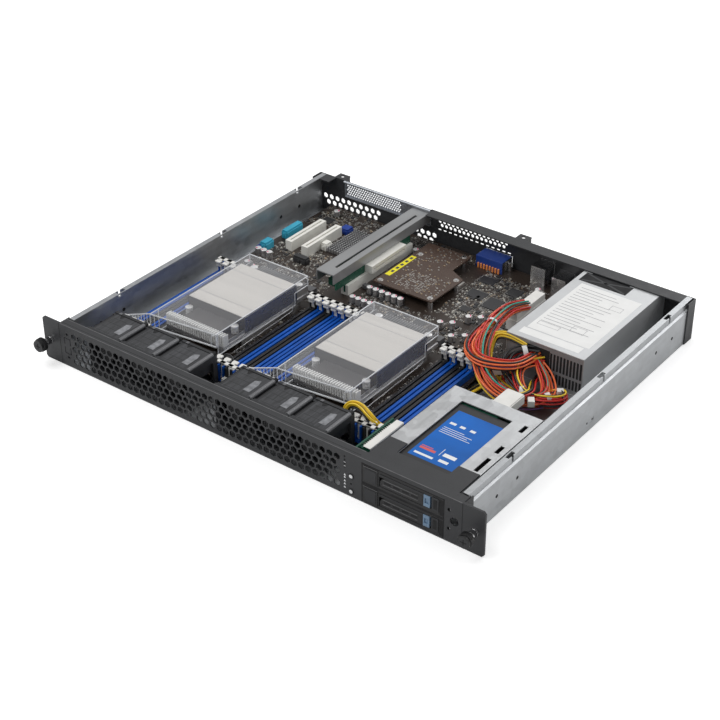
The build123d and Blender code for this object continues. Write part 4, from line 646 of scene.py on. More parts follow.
def small_parts():
    """Chips, resistors and capacitors scattered over the free areas of the board."""
    top = limits("motherboard")[2][1]
    areas = [
        ((-200, -120), (208, 292), 520), ((-66, 100), (208, 258), 620), ((8, 78), (268, 362), 1100),
        ((-110, -64), (352, 380), 120), ((-204, -150), (338, 380), 260), ((-146, -114), (352, 379), 120),
        ((-118, -100), (208, 350), 220), ((-168, -148), (270, 345), 200),
        ((-60, 60), (364, 380), 90), ((-150, -114), (262, 294), 60), ((-96, -90), (70, 200), 60),
        ((57, 64), (80, 200), 60), ((-14, 46), (60, 80), 60), ((-165, -100), (60, 80), 60),
    ]
    keep_out = [limits(n) for n in ("psu_case", "chipset_heatsink", "riser_card", "rear_ports")]
    boxes = []
    for name in ("expansion_slots", "storage_connectors", "power_connectors", "power_chokes"):
        boxes.append(frame["nodes"][name])
    solid = []
    for node in boxes:
        solid += islands(node)
    piece = Piece("board_small_parts")
    for x, y, count in areas:
        for _ in range(count):
            cx = random.uniform(*x)
            cy = random.uniform(*y)
            along = random.random() < 0.5
            kind = random.random()
            w, d, h = (2.0, 1.1, 0.7)
            if kind > 0.9:
                w, d, h = (4.2, 3.0, 1.4)
            elif kind > 0.8:
                w, d, h = (3.2, 1.7, 1.1)
            if along:
                w, d = d, w
            span = ((cx - w / 2, cx + w / 2), (cy - d / 2, cy + d / 2))
            if any(crosses(span, s) for s in solid + keep_out):
                continue
            solid.append((span[0], span[1], (0, 1)))
            z = (top, top + h)
            if kind > 0.5:
                outline_marks(piece, span, top, 0.45)
            if kind > 0.9:
                piece.box(*span, z, "chip")
                for k in (-1, 1):
                    pad_y = cy + k * (d / 2 + 0.25)
                    piece.box((cx - w / 2, cx + w / 2), (pad_y - 0.3, pad_y + 0.3), (top, top + 0.3), "pad")
            else:
                body = random.choice(("tan", "chip", "cream", "chip", "pad", "grey_part"))
                piece.box(*span, z, body)
                if w > d:
                    for k in (-1, 1):
                        ex = cx + k * (w / 2 - 0.2)
                        piece.box((ex - 0.25, ex + 0.25), (cy - d / 2 - 0.03, cy + d / 2 + 0.03),
                                  (top, top + h + 0.03), "pad")
                else:
                    for k in (-1, 1):
                        ey = cy + k * (d / 2 - 0.2)
                        piece.box((cx - w / 2 - 0.03, cx + w / 2 + 0.03), (ey - 0.25, ey + 0.25),
                                  (top, top + h + 0.03), "pad")
    made = piece.done()


def outline_marks(piece, span, top, margin):
    """A printed frame round a part, as thin bars on the board."""
    (x0, x1), (y0, y1) = ((s[0] - margin, s[1] + margin) for s in span)
    z = (top, top + 0.05)
    for y in (y0, y1):
        piece.box((x0, x1), (y - 0.11, y + 0.11), z, "silk")
    for x in (x0, x1):
        piece.box((x - 0.11, x + 0.11), (y0, y1), z, "silk")


def islands(node):
    """Boxes of the separate solids in a node, in millimetres."""
    mesh = node.data
    parent = list(range(len(mesh.vertices)))

    def root(i):
        while parent[i] != i:
            parent[i] = parent[parent[i]]
            i = parent[i]
        return i
    for edge in mesh.edges:
        a, b = root(edge.vertices[0]), root(edge.vertices[1])
        parent[a] = b
    groups = {}
    for vertex in mesh.vertices:
        groups.setdefault(root(vertex.index), []).append(vertex.co)
    out = []
    for points in groups.values():
        out.append([(min(p[i] for p in points) / MM, max(p[i] for p in points) / MM) for i in range(3)])
    return out


def crosses(span, other):
    return all(span[i][0] < other[i][1] + 0.3 and span[i][1] > other[i][0] - 0.3 for i in (0, 1))


def chips():
    """Larger integrated circuits with their rows of leads."""
    top = limits("motherboard")[2][1]
    places = [
        (24, 318, 19, 14, 1.4), (46, 312, 16, 20, 1.4), (-2, 322, 11, 11, 3.2), (70, 262, 13, 9, 2.0),
        (18, 347, 17, 12, 1.2), (52, 342, 14, 14, 1.4), (-186, 352, 12, 12, 1.4), (-92, 362, 10, 10, 1.4),
        (10, 240, 12, 12, 1.4), (-170, 240, 10, 10, 1.4), (-20, 236, 9, 9, 2.2), (30, 288, 10, 10, 1.6),
    ]
    piece = Piece("board_chips")
    for x, y, w, d, h in places:
        key = "pad" if h > 3 else "chip"
        outline_marks(piece, ((x - w / 2, x + w / 2), (y - d / 2, y + d / 2)), top, 2.2)
        piece.box((x - w / 2, x + w / 2), (y - d / 2, y + d / 2), (top + 0.2, top + h), key)
        if key == "pad":
            continue
        count = int(w / 1.2)
        for i in range(count):
            lx = x - w / 2 + (i + 0.5) * w / count
            for k in (-1, 1):
                ly = y + k * (d / 2 + 0.5)
                piece.box((lx - 0.25, lx + 0.25), (ly - 0.6, ly + 0.6), (top, top + 0.6), "pad")
        count = int(d / 1.2)
        for i in range(count):
            ly = y - d / 2 + (i + 0.5) * d / count
            for k in (-1, 1):
                lx = x + k * (w / 2 + 0.5)
                piece.box((lx - 0.6, lx + 0.6), (ly - 0.25, ly + 0.25), (top, top + 0.6), "pad")
        piece.rod("z", top + h, top + h + 0.05, (x - w / 2 + 1.6, y - d / 2 + 1.6), 0.5, "pad", 10)
    piece.done(bevel=0.12)


def capacitors():
    """Round polymer capacitors with a coloured segment on top."""
    top = limits("motherboard")[2][1]
    places = [(-64 + 6.9 * i, 234.0, 3.1, 8.0) for i in range(4)]
    places += [(-61.2 + 7.3 * i, 258.0, 3.1, 8.0) for i in range(6)]
    places += [(-185, 366, 3.3, 7.0), (30, 246, 3.1, 8.0), (40, 252, 3.1, 8.0), (52, 232, 3.1, 8.0),
               (62, 240, 3.1, 8.0), (74, 292, 3.1, 8.0), (-96, 214, 3.1, 8.0), (-190, 226, 3.1, 8.0),
               (-180, 222, 3.1, 8.0), (-160, 290, 3.1, 8.0), (-70, 348, 3.1, 7.0), (-64, 352, 3.1, 7.0),
               (72, 352, 3.1, 8.0), (46, 270, 3.1, 8.0), (56, 276, 3.1, 8.0)]
    piece = Piece("board_capacitors")
    for x, y, r, h in places:
        piece.box((x - r, x + r), (y - r, y + r), (top, top + 1.0), "chip")
        piece.rod("z", top + 1.0, top + h - 0.3, (x, y), r - 0.1, "cap_side", 24)
        piece.rod("z", top + h - 0.3, top + h, (x, y), r - 0.1, "cap_top", 24, r - 0.5)
        arc = [(x + (r - 0.6) * math.cos(a), y + (r - 0.6) * math.sin(a))
               for a in (math.radians(-20 + 22 * k) for k in range(6))]
        piece.prism(arc, top + h, top + h + 0.06, "pink")
    piece.done()


small_parts()
chips()
capacitors()


def card_details():
    """Label, mount screws, parts and printed marks on the raised card."""
    low, top = 18.0, 19.6
    board = limits("motherboard")[2][1]
    card = Piece("raised_card")
    card.prism([(-63, 266), (6, 266), (7, 319), (-12.5, 329), (-12.5, 362), (-63, 361)], low, top, "card_brown")
    card.box((-58, -52), (322, 356), (board, low), "chip")
    for x, y in ((-58, 271), (1, 271), (2, 314), (-17.5, 357)):
        card.rod("z", board, low, (x, y), 2.6, "steel", 6)
    made = card.done(bevel=0.1)
    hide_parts("mezzanine_card")
    piece = Piece("raised_card_parts")
    piece.box((-61.5, -55.5), (283, 329), (top, top + 0.12), "yellow_label")
    for i in range(5):
        y = 290 + 8 * i
        piece.box((-60, -57), (y, y + 4), (top + 0.12, top + 0.16), "ink")
    for x, y in ((-58, 271), (1, 271), (2, 314), (-17.5, 357), (-56, 336)):
        piece.rod("z", top, top + 0.25, (x, y), 3.0, "pad", 20)
        piece.rod("z", top + 0.25, top + 1.2, (x, y), 2.0, "steel", 16)
    for _ in range(150):
        x = random.uniform(-52, 3)
        y = random.uniform(272, 308) if random.random() < 0.65 else random.uniform(314, 358)
        if y > 311:
            x = random.uniform(-54, -20)
        piece.box((x - 0.8, x + 0.8), (y - 0.5, y + 0.5), (top, top + 0.5),
                  random.choice(("pad", "tan", "pad")))
    for i in range(11):
        for j in range(15):
            if random.random() < 0.35:
                continue
            x, y = -42 + 3.0 * i, 274 + 2.2 * j
            half = random.uniform(0.4, 1.2)
            piece.box((x - half, x + half), (y - 0.3, y + 0.3), (top, top + 0.06), "silk")
    piece.done()


card_details()


# Power supply, drives and controls

def supply_labels():
    """Plain white labels with grey rules, painted shade in the vents, the fan recess and over the front face, and the
    case seam.
    """
    (x0, x1), (y0, y1), (z0, z1) = limits("psu_case")
    piece = Piece("supply_labels")
    piece.box((x0 + 10, x1 - 6), (252, 349), (z1, z1 + 0.08), "paper_and_fin_highlight")
    piece.box((x0 + 8, x1 - 10), (240.5, 250.5), (z1, z1 + 0.08), "paper_and_fin_highlight")
    rows = [(342 - 5.2 * i, random.uniform(0.45, 0.95)) for i in range(15)]
    for y, share in rows:
        width = (x1 - x0 - 26) * share
        piece.box((x0 + 14, x0 + 14 + width), (y - 0.35, y + 0.35), (z1 + 0.08, z1 + 0.12), "print")
    for x, y, w, d in ((x0 + 54, 322, 12, 8), (x0 + 14, 262, 22, 6), (x0 + 44, 268, 14, 10)):
        for a, b, c, e in ((0, w, 0, 0.4), (0, w, d - 0.4, d), (0, 0.4, 0, d), (w - 0.4, w, 0, d)):
            piece.box((x + a, x + b), (y + c, y + e), (z1 + 0.08, z1 + 0.13), "print")
    piece.done()
    rear = Piece("supply_fan_recess")
    # painted shade in the fan recess
    rear.box((x0 + 4, x0 + 54), (353, 370), (z1 - 0.6, z1 + 0.02), "hollow_shade")
    strut(rear, (x0 + 6, 354.5, z1 + 0.05), (x0 + 52, 368.5, z1 + 0.05), 2.2, 0.2, "fan_plastic")
    strut(rear, (x0 + 6, 368.5, z1 + 0.05), (x0 + 52, 354.5, z1 + 0.05), 2.2, 0.2, "fan_plastic")
    rear.done()
    dark = Piece("supply_vent_and_face_shade")
    # painted shade: a darker plate over the front face
    dark.box((x0 + 0.4, x1 - 0.4), (y0 - 0.04, y0 + 0.1), (z0 + 0.6, z1 - 1.2), "supply_front_painted_shade")
    # painted shade in the vent slots, the large opening and the round hole
    for i in range(10):
        x = 157.5 + i * 3.4
        for low, high in ((19.0, 36.0), (6.0, 16.0)):
            dark.box((x - 1.05, x + 1.05), (y0 - 0.1, y0 + 0.2), (low, high), "hollow_shade")
    dark.box((129, 156), (y0 - 0.12, y0 + 0.4), (17, 37.5), "hollow_shade")
    dark.rod("y", y0 - 0.1, y0 + 0.3, (152.5, 11.0), 1.7, "hollow_shade", 20)
    dark.box((x0 + 0.2, x1 - 0.2), (y0 - 0.1, y0 + 0.1), (z1 - 1.1, z1 - 0.9), "ink")
    dark.done()


LABEL_X = (15.0, 59.8)
LABEL_Y = (16.5, 91.0)


def drive_label():
    """Blue drive label with plain bars of white and red, in place of any print."""
    (x0, x1), (y0, y1), (z0, z1) = limits("drive_upper")
    top = z1
    piece = Piece("drive_label")
    piece.box((x0 + LABEL_X[0], x0 + LABEL_X[1]), (y0 + LABEL_Y[0], y0 + LABEL_Y[1]), (top, top + 0.1),
              "drive_blue")
    line = top + 0.13
    for x, y, w, d, key in ((3, 4, 18, 2.6, "lamp"), (26, 5, 9, 3.4, "lamp"), (3, 12, 15, 3.0, "drive_red"),
                            (3, 16, 11, 1.0, "drive_red"), (22, 12, 0.5, 10, "lamp"), (25, 13, 12, 4.4, "lamp"),
                            (3, 40, 30, 0.6, "lamp"), (3, 42.5, 26, 0.6, "lamp"), (3, 45, 29, 0.6, "lamp"),
                            (3, 47.5, 20, 0.6, "lamp"), (4, 54, 6, 3.0, "lamp"), (14, 54, 5, 3.0, "lamp"),
                            (24, 54, 5, 3.0, "lamp")):
        left, near = x0 + LABEL_X[0] + x, y0 + LABEL_Y[0] + y
        piece.box((left, left + w), (near, near + d), (top + 0.1, line), key)
    made = piece.done("tray_upper")


def front_marks():
    """Lamp lenses, plain status marks and round button rings."""
    piece = Piece("front_marks")
    for z in (38.0, 34.6, 30.8, 27.5):
        # painted shade in the lamp holes
        piece.rod("y", 0.3, 1.4, (106.0, z), 0.98, "hollow_shade", 16)
    for z in (20.0, 17.6, 14.0, 11.0, 7.6):
        piece.prism([(105.0, z - 1.0), (107.2, z - 1.0), (106.1, z + 1.0)], -0.04, 0.02, "lamp", "y")
    for z in (34.6, 30.8):
        piece.box((105.2, 107.0), (-0.04, 0.02), (z - 2.6, z - 2.1), "lamp")
    piece.done()
    for level, base in (("upper", 21.2), ("lower", 1.5)):
        face = Piece(f"tray_face_{level}")
        x0, x1 = 124.0, 202.6
        z0, z1 = base, base + 17.4
        face.box((x0 + 0.8, x0 + 15.4), (-0.5, 0.1), (z0 + 1.0, z1 - 1.0), "tray")
        face.box((x0 + 2.6, x0 + 13.8), (-0.8, 0), (z0 + 2.8, z1 - 2.8), "fan_plastic")
        # painted highlight along the top edge of the tray face
        face.box((x0 + 0.8, x0 + 15.4), (-0.54, 0), (z1 - 1.5, z1 - 1.1), "edge")
        face.box((191.9, 198.4), (-0.6, 0.1), (z0 + 3.0, z1 - 1.6), "fan_plastic")
        # painted shade in the lever slot and the gap beside the tray
        face.box((193.4, 197.0), (-0.7, 0), (z0 + 5.0, z1 - 3.4), "hollow_shade")
        face.box((141, 184), (-0.45, 0.05), (z1 - 3.6, z1 - 2.6), "fan_plastic")
        face.box((199.2, 202.4), (-0.02, 0.05), (z0 + 1, z1 - 1), "hollow_shade")
        face.done(f"tray_{level}", bevel=0.25)
    gaps = Piece("bay_gaps")
    # painted shade in the gaps round the bays
    gaps.box((123.1, 123.8), (-0.04, 0.3), (0.6, 39.4), "hollow_shade")
    gaps.box((202.8, 203.6), (-0.04, 0.3), (0.6, 39.4), "hollow_shade")
    gaps.box((123.1, 203.6), (-0.04, 0.3), (38.8, 39.5), "hollow_shade")
    gaps.box((123.8, 202.8), (-0.02, 1.0), (19.0, 21.1), "hollow_shade")
    gaps.done()
    for node, body in (("power_button", "power_key"), ("locate_button", "locate_key")):
        x, y, z = limits(node)
        dot = Piece(f"{body}_mark")
        dot.rod("y", y[0] - 0.06, y[0] + 0.3, ((x[0] + x[1]) / 2, (z[0] + z[1]) / 2), 1.75, "lamp", 24)
        dot.done(body, bevel=0.1)


def lever_covers():
    """Rounded ejector levers with their air slots painted as shade and lines of painted highlight, in place of the
    plain ones.
    """
    for level, base in (("upper", 21.2), ("lower", 1.5)):
        node = f"tray_lever_{level}"
        (x0, x1), (y0, y1), (z0, z1) = limits(node)
        piece = Piece(f"lever_{level}")
        shoulder = [(x0 + 0.3, z0), (x1, z0), (x1, z1), (x0 + 5, z1), (x0 + 2.2, z1 - 1.2),
                    (x0 + 0.6, z1 - 3.6), (x0 + 0.3, z1 - 5.5)]
        piece.prism(shoulder, y0 + 0.2, y1, "tray", "y")
        middle = (z0 + z1) / 2 + 0.6
        for i in range(4):
            x = x0 + 7.5 + 8.8 * i
            # painted shade in the air slots
            piece.box((x - 3.3, x + 3.3), (y0 + 0.12, y0 + 0.3), (middle - 0.9, middle + 0.9), "hollow_shade")
        for a, b, c, d in ((x0 + 3, x1 - 4, middle + 2.0, middle + 2.5), (x0 + 3, x1 - 4, middle - 2.6, middle - 2.1)):
            # painted highlight lines on the lever
            piece.box((a, b), (y0, y0 + 0.3), (c, d), "edge")
        made = piece.done(f"lever_{level}", bevel=0.3)
        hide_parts(node)


def thumbscrews():
    """Knurled knobs with a cross recess, on their bright shanks and sleeves."""
    for side, sx in (("left", -1), ("right", 1)):
        x, z = sx * 232.55, 21.8
        piece = Piece(f"knob_{side}")
        sides = 72
        ring = []
        for i in range(sides):
            a = 2 * math.pi * i / sides
            r = 6.55 if i % 2 else 6.15
            ring.append((x + r * math.cos(a), z + r * math.sin(a)))
        piece.prism(ring, -14.6, -9.8, "knob", "y")
        piece.rod("y", -16.7, -14.6, (x, z), 5.8, "knob", 40)
        piece.rod("y", -9.8, -9.2, (x, z), 5.2, "knob", 32)
        piece.rod("y", -16.76, -16.5, (x, z), 4.6, "fan_plastic", 40)
        for w, h in ((1.2, 6.0), (6.0, 1.2)):
            # painted shade in the cross recess
            piece.box((x - w / 2, x + w / 2), (-16.84, -16.0), (z - h / 2, z + h / 2), "hollow_shade")
        piece.rod("y", -9.2, -5.8, (x, z), 3.4, "steel", 32)
        piece.rod("y", -5.8, 4.1, (x, z), 1.99, "steel", 24)
        piece.rod("y", 4.1, 9.0, (x, z), 2.49, "steel", 24)
        made = piece.done(f"captive_screw_{side}", bevel=0.2)
        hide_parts(f"thumbscrew_{side}")
        sleeve = Piece(f"sleeve_{side}")
        sleeve.rod("y", -5.62, -2.4, (x, z), 2.9, "steel", 32)
        sleeve.rod("y", -2.4, -0.05, (x, z), 3.65, "steel", 32)
        sleeve.done(bevel=0.25)


supply_labels()
drive_label()
front_marks()
lever_covers()
thumbscrews()


def bezel_edges():
    """Painted highlights for light catching the bezel's top folds and lower front edge, painted shade in a line across
    the top and in the joints beside the ears.
    """
    top = limits("front_bezel")[2][1]
    piece = Piece("bezel_edges")
    piece.box((-219.4, 219.4), (0.2, 0.8), (top - 0.2, top + 0.06), "edge")
    piece.box((-219.0, 120.6), (9.2, 9.9), (top - 0.2, top + 0.06), "edge")
    piece.box((-219.0, 120.6), (3.2, 3.6), (top - 0.2, top + 0.03), "hollow_shade")
    for side in (-1, 1):
        a, b = sorted((side * 220.0, side * 220.6))
        piece.box((a, b), (-0.05, 0.3), (0.4, 43.3), "hollow_shade")
    # painted highlight along the lower front edge
    piece.box((-219.4, 219.4), (-0.05, 0.2), (0.5, 0.8), "edge")
    piece.done()


def latch_caps():
    """Broad white finger pads on the memory latches."""
    for side in ("left", "right"):
        for end, way in (("front", -1), ("rear", 1)):
            body = f"latches_{side}_{end}"
            piece = Piece(f"latch_pads_{side}_{end}")
            for (x0, x1), (y0, y1), (z0, z1) in islands(frame["nodes"][f"memory_latches_{side}_{end}"]):
                middle = (x0 + x1) / 2
                y = (y0 - 0.5, y0 + 3.6) if way < 0 else (y1 - 3.6, y1 + 0.9)
                piece.box((middle - 3.0, middle + 3.0), y, (z1 - 1.8, z1), "white")
            piece.done(body, bevel=0.45)


bezel_edges()
latch_caps()


def slot_cover():
    """Finely perforated blank with its rounded rail, in place of the coarse one."""
    (x0, x1), (y0, y1), (z0, z1) = limits("slot_cover")
    outline = [(x0, z0), (x1, z0), (x1, z1 - 2), (x0, z1 - 2)]
    holes = []
    for row in range(5):
        z = z0 + 4.2 + 2.5 * row
        shift = 1.45 if row % 2 else 0
        holes += [hexagon(x0 + 4 + shift + 2.9 * i, z, 1.12) for i in range(24)]
    made = perforated("slot_cover_sheet", outline, holes, y1 - 0.6, 1.0, "galvanised_dark")
    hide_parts("slot_cover")
    rail = Piece("slot_cover_rail")
    rail.rod("x", x0, x1, (y1 - 1.7, z1 - 1.7), 1.65, "galvanised_dark", 24)
    rail.box((x0 + 1, x1 - 1), (y1 - 2.6, y1 - 1.3), (z0 + 0.4, z0 + 1.4), "galvanised_dark")
    rail.done()


slot_cover()


def wall_inserts():
    """Threaded inserts in the side walls, with their bright collars."""
    piece = Piece("rail_inserts")
    for side in (-1, 1):
        for y in (50.0, 80.5, 314.5, 345.0):
            a, b = sorted((side * 219.4, side * 219.98))
            piece.rod("x", a, b, (y, 19.5), 3.4, "steel", 24)
            a, b = sorted((side * 218.6, side * 220.0))
            # painted shade in the threaded holes
            piece.rod("x", a, b, (y, 19.5), 1.9, "hollow_shade", 20)
        a, b = sorted((side * 218.9, side * 219.7))
        piece.box((a, b), (190.2, 204.8), (7.3, 11.7), "galvanised")
        a, b = sorted((side * 219.5, side * 220.0))
        for y in (193.0, 202.0):
            # painted shade in the small holes
            piece.rod("x", a, b, (y, 9.5), 0.9, "hollow_shade", 16)
    piece.done(bevel=0.12)


wall_inserts()


def rear_details():
    """Folded cheeks under the cover tabs, a stiffening frame and the display socket's colours."""
    piece = Piece("rear_details")
    for x in (-195.5, 30.0):
        for side in (-1, 1):
            edge = x + side * 5.9
            piece.box((edge - 0.6, edge + 0.6), (385.3, 394.6), (35.5, 42.2), "black_steel")
    for z in (27.2, 36.8):
        piece.box((-69.7, 21), (383.4, 384.0), (z - 0.4, z + 0.4), "black_steel")
    piece.box((-9.0, 22.0), (365.8, 383.6), (21.4, 22.0), "vga_blue")
    piece.box((-9.0, 22.0), (365.6, 366.1), (9.2, 21.6), "vga_blue")
    for i in range(8):
        piece.box((-6.5 + 3.4 * i, -4.7 + 3.4 * i), (364.4, 366.0), (9.0, 14.5), "orange")
    for x in (-11.0, 24.0):
        piece.rod("z", 9, 19, (x, 377), 2.0, "steel", 12)
    piece.done(bevel=0.15)


def header_details():
    """Coloured data and fan headers with their open tops, in place of the plain blocks."""
    piece = Piece("board_headers")
    looks = {0: "cyan", 1: "cyan", 2: "chip", 3: "cream_light", 4: "dark_blue"}
    order = sorted(islands(frame["nodes"]["storage_connectors"]), key=lambda b: (b[0][0], b[1][0]))
    names = {}
    for b in order:
        cx = (b[0][0] + b[0][1]) / 2
        cy = (b[1][0] + b[1][1]) / 2
        if cx < -190:
            names[(cx, cy)] = 0
        elif cy < 280:
            names[(cx, cy)] = 2
        elif cy < 320:
            names[(cx, cy)] = 3
        else:
            names[(cx, cy)] = 4
        (x0, x1), (y0, y1), (z0, z1) = b
        key = looks[names[(cx, cy)]]
        wall = 1.1
        piece.box((x0, x1), (y0, y1), (z0, z0 + 2), key)
        piece.box((x0, x0 + wall), (y0, y1), (z0, z1), key)
        piece.box((x1 - wall, x1), (y0, y1), (z0, z1), key)
        piece.box((x0, x1), (y0, y0 + wall), (z0, z1), key)
        piece.box((x0, x1), (y1 - wall, y1), (z0, z1), key)
        piece.box((cx - 0.7, cx + 0.7), (y0 + 2.2, y1 - 2.2), (z0 + 1, z1 - 0.8), key)
    made = piece.done(bevel=0.2)
    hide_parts("storage_connectors")
    extra = Piece("board_left_parts")
    extra.box((-205, -201.5), (258, 263), (9, 15), "dark_blue")
    for i in range(3):
        extra.rod("z", 9, 16.4, (-199.0 + 7.2 * i, 254.0), 3.2, "cap_side", 24)
        extra.rod("z", 16.4, 16.8, (-199.0 + 7.2 * i, 254.0), 3.2, "cap_top", 24, 2.8)
        extra.box((-200.6 + 7.2 * i, -199.0 + 7.2 * i), (251.6, 253.2), (16.8, 16.86), "pink")
    extra.done()


def pin_cooler():
    """Low cooler of fine pins on the chipset, in place of the coarse one."""
    (x0, x1), (y0, y1), (z0, z1) = limits("chipset_heatsink")
    piece = Piece("chipset_pins")
    # painted shade on the base between the pins
    piece.box((x0, x1), (y0, y1), (z0, z0 + 1.6), "fin_gap_shade")
    across, along = 11, 16
    for i in range(across):
        for j in range(along):
            x = x0 + 0.8 + i * (x1 - x0 - 1.6) / (across - 1)
            y = y0 + 0.8 + j * (y1 - y0 - 1.6) / (along - 1)
            piece.box((x - 0.8, x + 0.8), (y - 0.8, y + 0.8), (z0 + 1.6, z1), "fin")
    made = piece.done()
    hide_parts("chipset_heatsink")


rear_details()
header_details()
pin_cooler()


def light_bar():
    """White top and side plate of the block beside the front control board."""
    piece = Piece("light_bar")
    piece.box((109.5, 116.7), (20, 66.9), (36.9, 38.0), "white")
    piece.box((116.5, 117.0), (20, 66.8), (27, 37.0), "galvanised_dark")
    for i in range(16):
        y = 24 + 2.4 * i
        piece.box((106.4, 109.7), (y, y + 0.9), (36.1, 36.5), "pad")
    piece.done(bevel=0.2)


light_bar()


def cage_back():
    """Coloured plugs behind the drive cage and a dark block between them."""
    piece = Piece("cage_back_plugs")
    piece.box((129.3, 139.2), (137, 147.2), (20.4, 29.4), "cyan")
    # painted shade in the plug's opening
    piece.box((131.0, 137.5), (137.4, 145.5), (29.3, 29.6), "hollow_shade")
    piece.box((150, 170), (137, 149.2), (20.4, 30.2), "white")
    piece.box((152, 168), (149, 172.3), (28.8, 29.8), "white")
    for i in range(4):
        # painted shade in the plug's slots
        piece.box((153.0 + 4 * i, 155.4 + 4 * i), (171.8, 172.5), (22.5, 27.5), "hollow_shade")
    piece.box((142, 148), (137, 146), (24, 33), "chip")
    piece.done(bevel=0.3)


cage_back()


# Wires

def spline_curve(name, points, diameter, key, resolution=10):
    """A round wire on one NURBS spline through millimetre control points."""
    curve = bpy.data.curves.new(name, "CURVE")
    curve.dimensions = "3D"
    curve.bevel_depth = diameter * MM / 2
    curve.bevel_resolution = 3
    curve.use_fill_caps = True
    curve.resolution_u = resolution
    add_spline(curve, points)
    curve.materials.append(M[key])
    wire = bpy.data.objects.new(name, curve)
    bpy.context.scene.collection.objects.link(wire)
    return wire


def add_spline(curve, points):
    spline = curve.splines.new("NURBS")
    spline.points.add(len(points) - 1)
    for point, co in zip(spline.points, points):
        point.co = (co[0] * MM, co[1] * MM, co[2] * MM, 1)
    spline.order_u = 3
    spline.use_endpoint_u = True


def centre_line(points):
    """Points read from a route's NURBS spline, in millimetres."""
    wire = spline_curve("route", points, 0.0, "w_black")
    wire.data.bevel_depth = 0.0
    mesh = bpy.data.meshes.new_from_object(wire)
    line = [v.co / MM for v in mesh.vertices]
    bpy.data.objects.remove(wire)
    return line


def strand(line, radius, phase, twist, fan=0.0):
    """One wire of a bundle: it winds loosely round the centre line."""
    out = []
    count = len(line)
    for i in range(0, count, max(1, count // 14)):
        t = i / (count - 1)
        ahead = line[min(i + 1, count - 1)] - line[max(i - 1, 0)]
        side = ahead.cross(Vector((0, 0, 1))).normalized()
        up = side.cross(ahead).normalized()
        angle = phase + twist * t
        swell = radius * (1 + fan * math.sin(math.pi * t))
        out.append(line[i] + side * (swell * math.cos(angle)) + up * (swell * 0.8 * math.sin(angle)))
    if (count - 1) % max(1, count // 14):
        out.append(Vector(line[-1]))
    return [tuple(p) for p in out]


def bundle(name, route, wires, radius, diameter, body=ROOT, fan=0.4, node=None,
           core="w_black"):
    """A cord made of a core wire and strands of several colours round it."""
    core_wire = spline_curve(name, route, diameter, core)
    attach(core_wire, body)
    line = centre_line(route)
    for key in sorted(set(wires)):
        curve = bpy.data.curves.new(f"{name}_{key}", "CURVE")
        curve.dimensions = "3D"
        curve.bevel_depth = 0.85 * MM
        curve.bevel_resolution = 3
        curve.resolution_u = 8
        curve.use_fill_caps = True
        for i, k in enumerate(wires):
            if k != key:
                continue
            ring = radius * (0.55 if i % 3 == 0 else 1.0)
            add_spline(curve, strand(line, ring, 2 * math.pi * i / len(wires), random.uniform(-1.4, 1.4), fan))
        curve.materials.append(M[key])
        group = bpy.data.objects.new(f"{name}_{key}", curve)
        bpy.context.scene.collection.objects.link(group)
        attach(group, body)
    if node:
        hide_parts(node)
    return core_wire


MAIN_ROUTE = [
    (143.0, 234.0, 30.0),
    (143.0, 211.0, 30.0),
    (130.0, 193.0, 34.0),
    (111.0, 186.0, 35.0),
    (94.0, 197.0, 36.0),
    (87.5, 219.0, 37.0),
    (86.5, 248.0, 37.0),
    (85.5, 276.0, 35.0),
    (85.3, 296.0, 27.0),
]
DRIVE_ROUTE = [
    (152.0, 234.0, 15.0),
    (152.0, 215.0, 15.0),
    (159.0, 200.0, 19.0),
    (165.0, 187.0, 22.0),
    (160.0, 172.0, 25.0),
]
MAIN_WIRES = ["w_orange", "w_orange", "w_red", "w_orange", "w_teal", "w_black", "w_orange", "w_red",
              "w_orange", "w_black", "w_purple", "w_red", "w_orange", "w_yellow"]
DRIVE_WIRES = ["w_yellow", "w_black", "w_red", "w_black", "w_red", "w_black"]
CORE_WIRES = [w for w in MAIN_WIRES if w != "w_teal"]
POWER_ROUTE = [(86.5, 306, 26), (84, 290, 33), (84.5, 268, 35), (88, 240, 36), (98.5, 210, 36.5), (112, 187, 29),
               (131, 175, 21), (150, 177, 15), (166, 186, 12), (178, 199, 14), (168, 216, 18), (150, 228, 24),
               (140, 234, 30)]
YELLOW_ROUTE = [(133, 234, 35), (118, 237, 37), (101, 233, 37), (99, 227, 30), (102, 219, 21), (113, 203, 15),
                (128, 196, 12), (143, 192, 12), (156, 188, 14), (161, 176, 24)]
BLACK_ROUTE = [(146, 234, 32), (133, 231, 32), (125, 222, 29), (126, 208, 25), (138, 200, 19), (152, 195, 14),
               (168, 194, 12), (184, 200, 13), (194, 206, 12)]
LOOP_ROUTE = [(150, 234, 26), (140, 222, 28), (137, 208, 26), (147, 194, 20), (163, 186, 16), (180, 190, 18),
              (193, 200, 18), (186, 213, 16), (172, 210, 10), (163, 196, 6), (158, 180, 20)]
CPU_ROUTE = [(59, 62, 12), (58, 60, 30), (62, 66, 37), (74, 67, 36), (86, 62, 32), (91, 66, 22), (96, 80, 12),
             (105, 110, 6), (108, 160, 5), (118, 205, 8), (132, 226, 14), (140, 234, 22)]
FAN_ROUTE = [(-72.6, 48, 6), (-74, 54, 8), (-78, 61, 18), (-81, 66, 28), (-74, 68, 30), (-66, 64, 24), (-60, 62, 14)]
bundle("main_wires", MAIN_ROUTE, CORE_WIRES, 4.2, 1.8, node="main_loom",
       core="w_red")
bundle("drive_wires", DRIVE_ROUTE, DRIVE_WIRES, 2.6, 1.8, node="drive_loom")
bundle("board_wires", POWER_ROUTE, MAIN_WIRES, 5.6, 1.8, core="w_orange")
bundle("yellow_wires", YELLOW_ROUTE, ["w_yellow"] * 4 + ["w_black"] * 2, 3.0, 1.8,
       core="w_yellow")
bundle("black_wires", BLACK_ROUTE, ["w_black"] * 7 + ["w_red"] * 4, 5.4, 1.8)
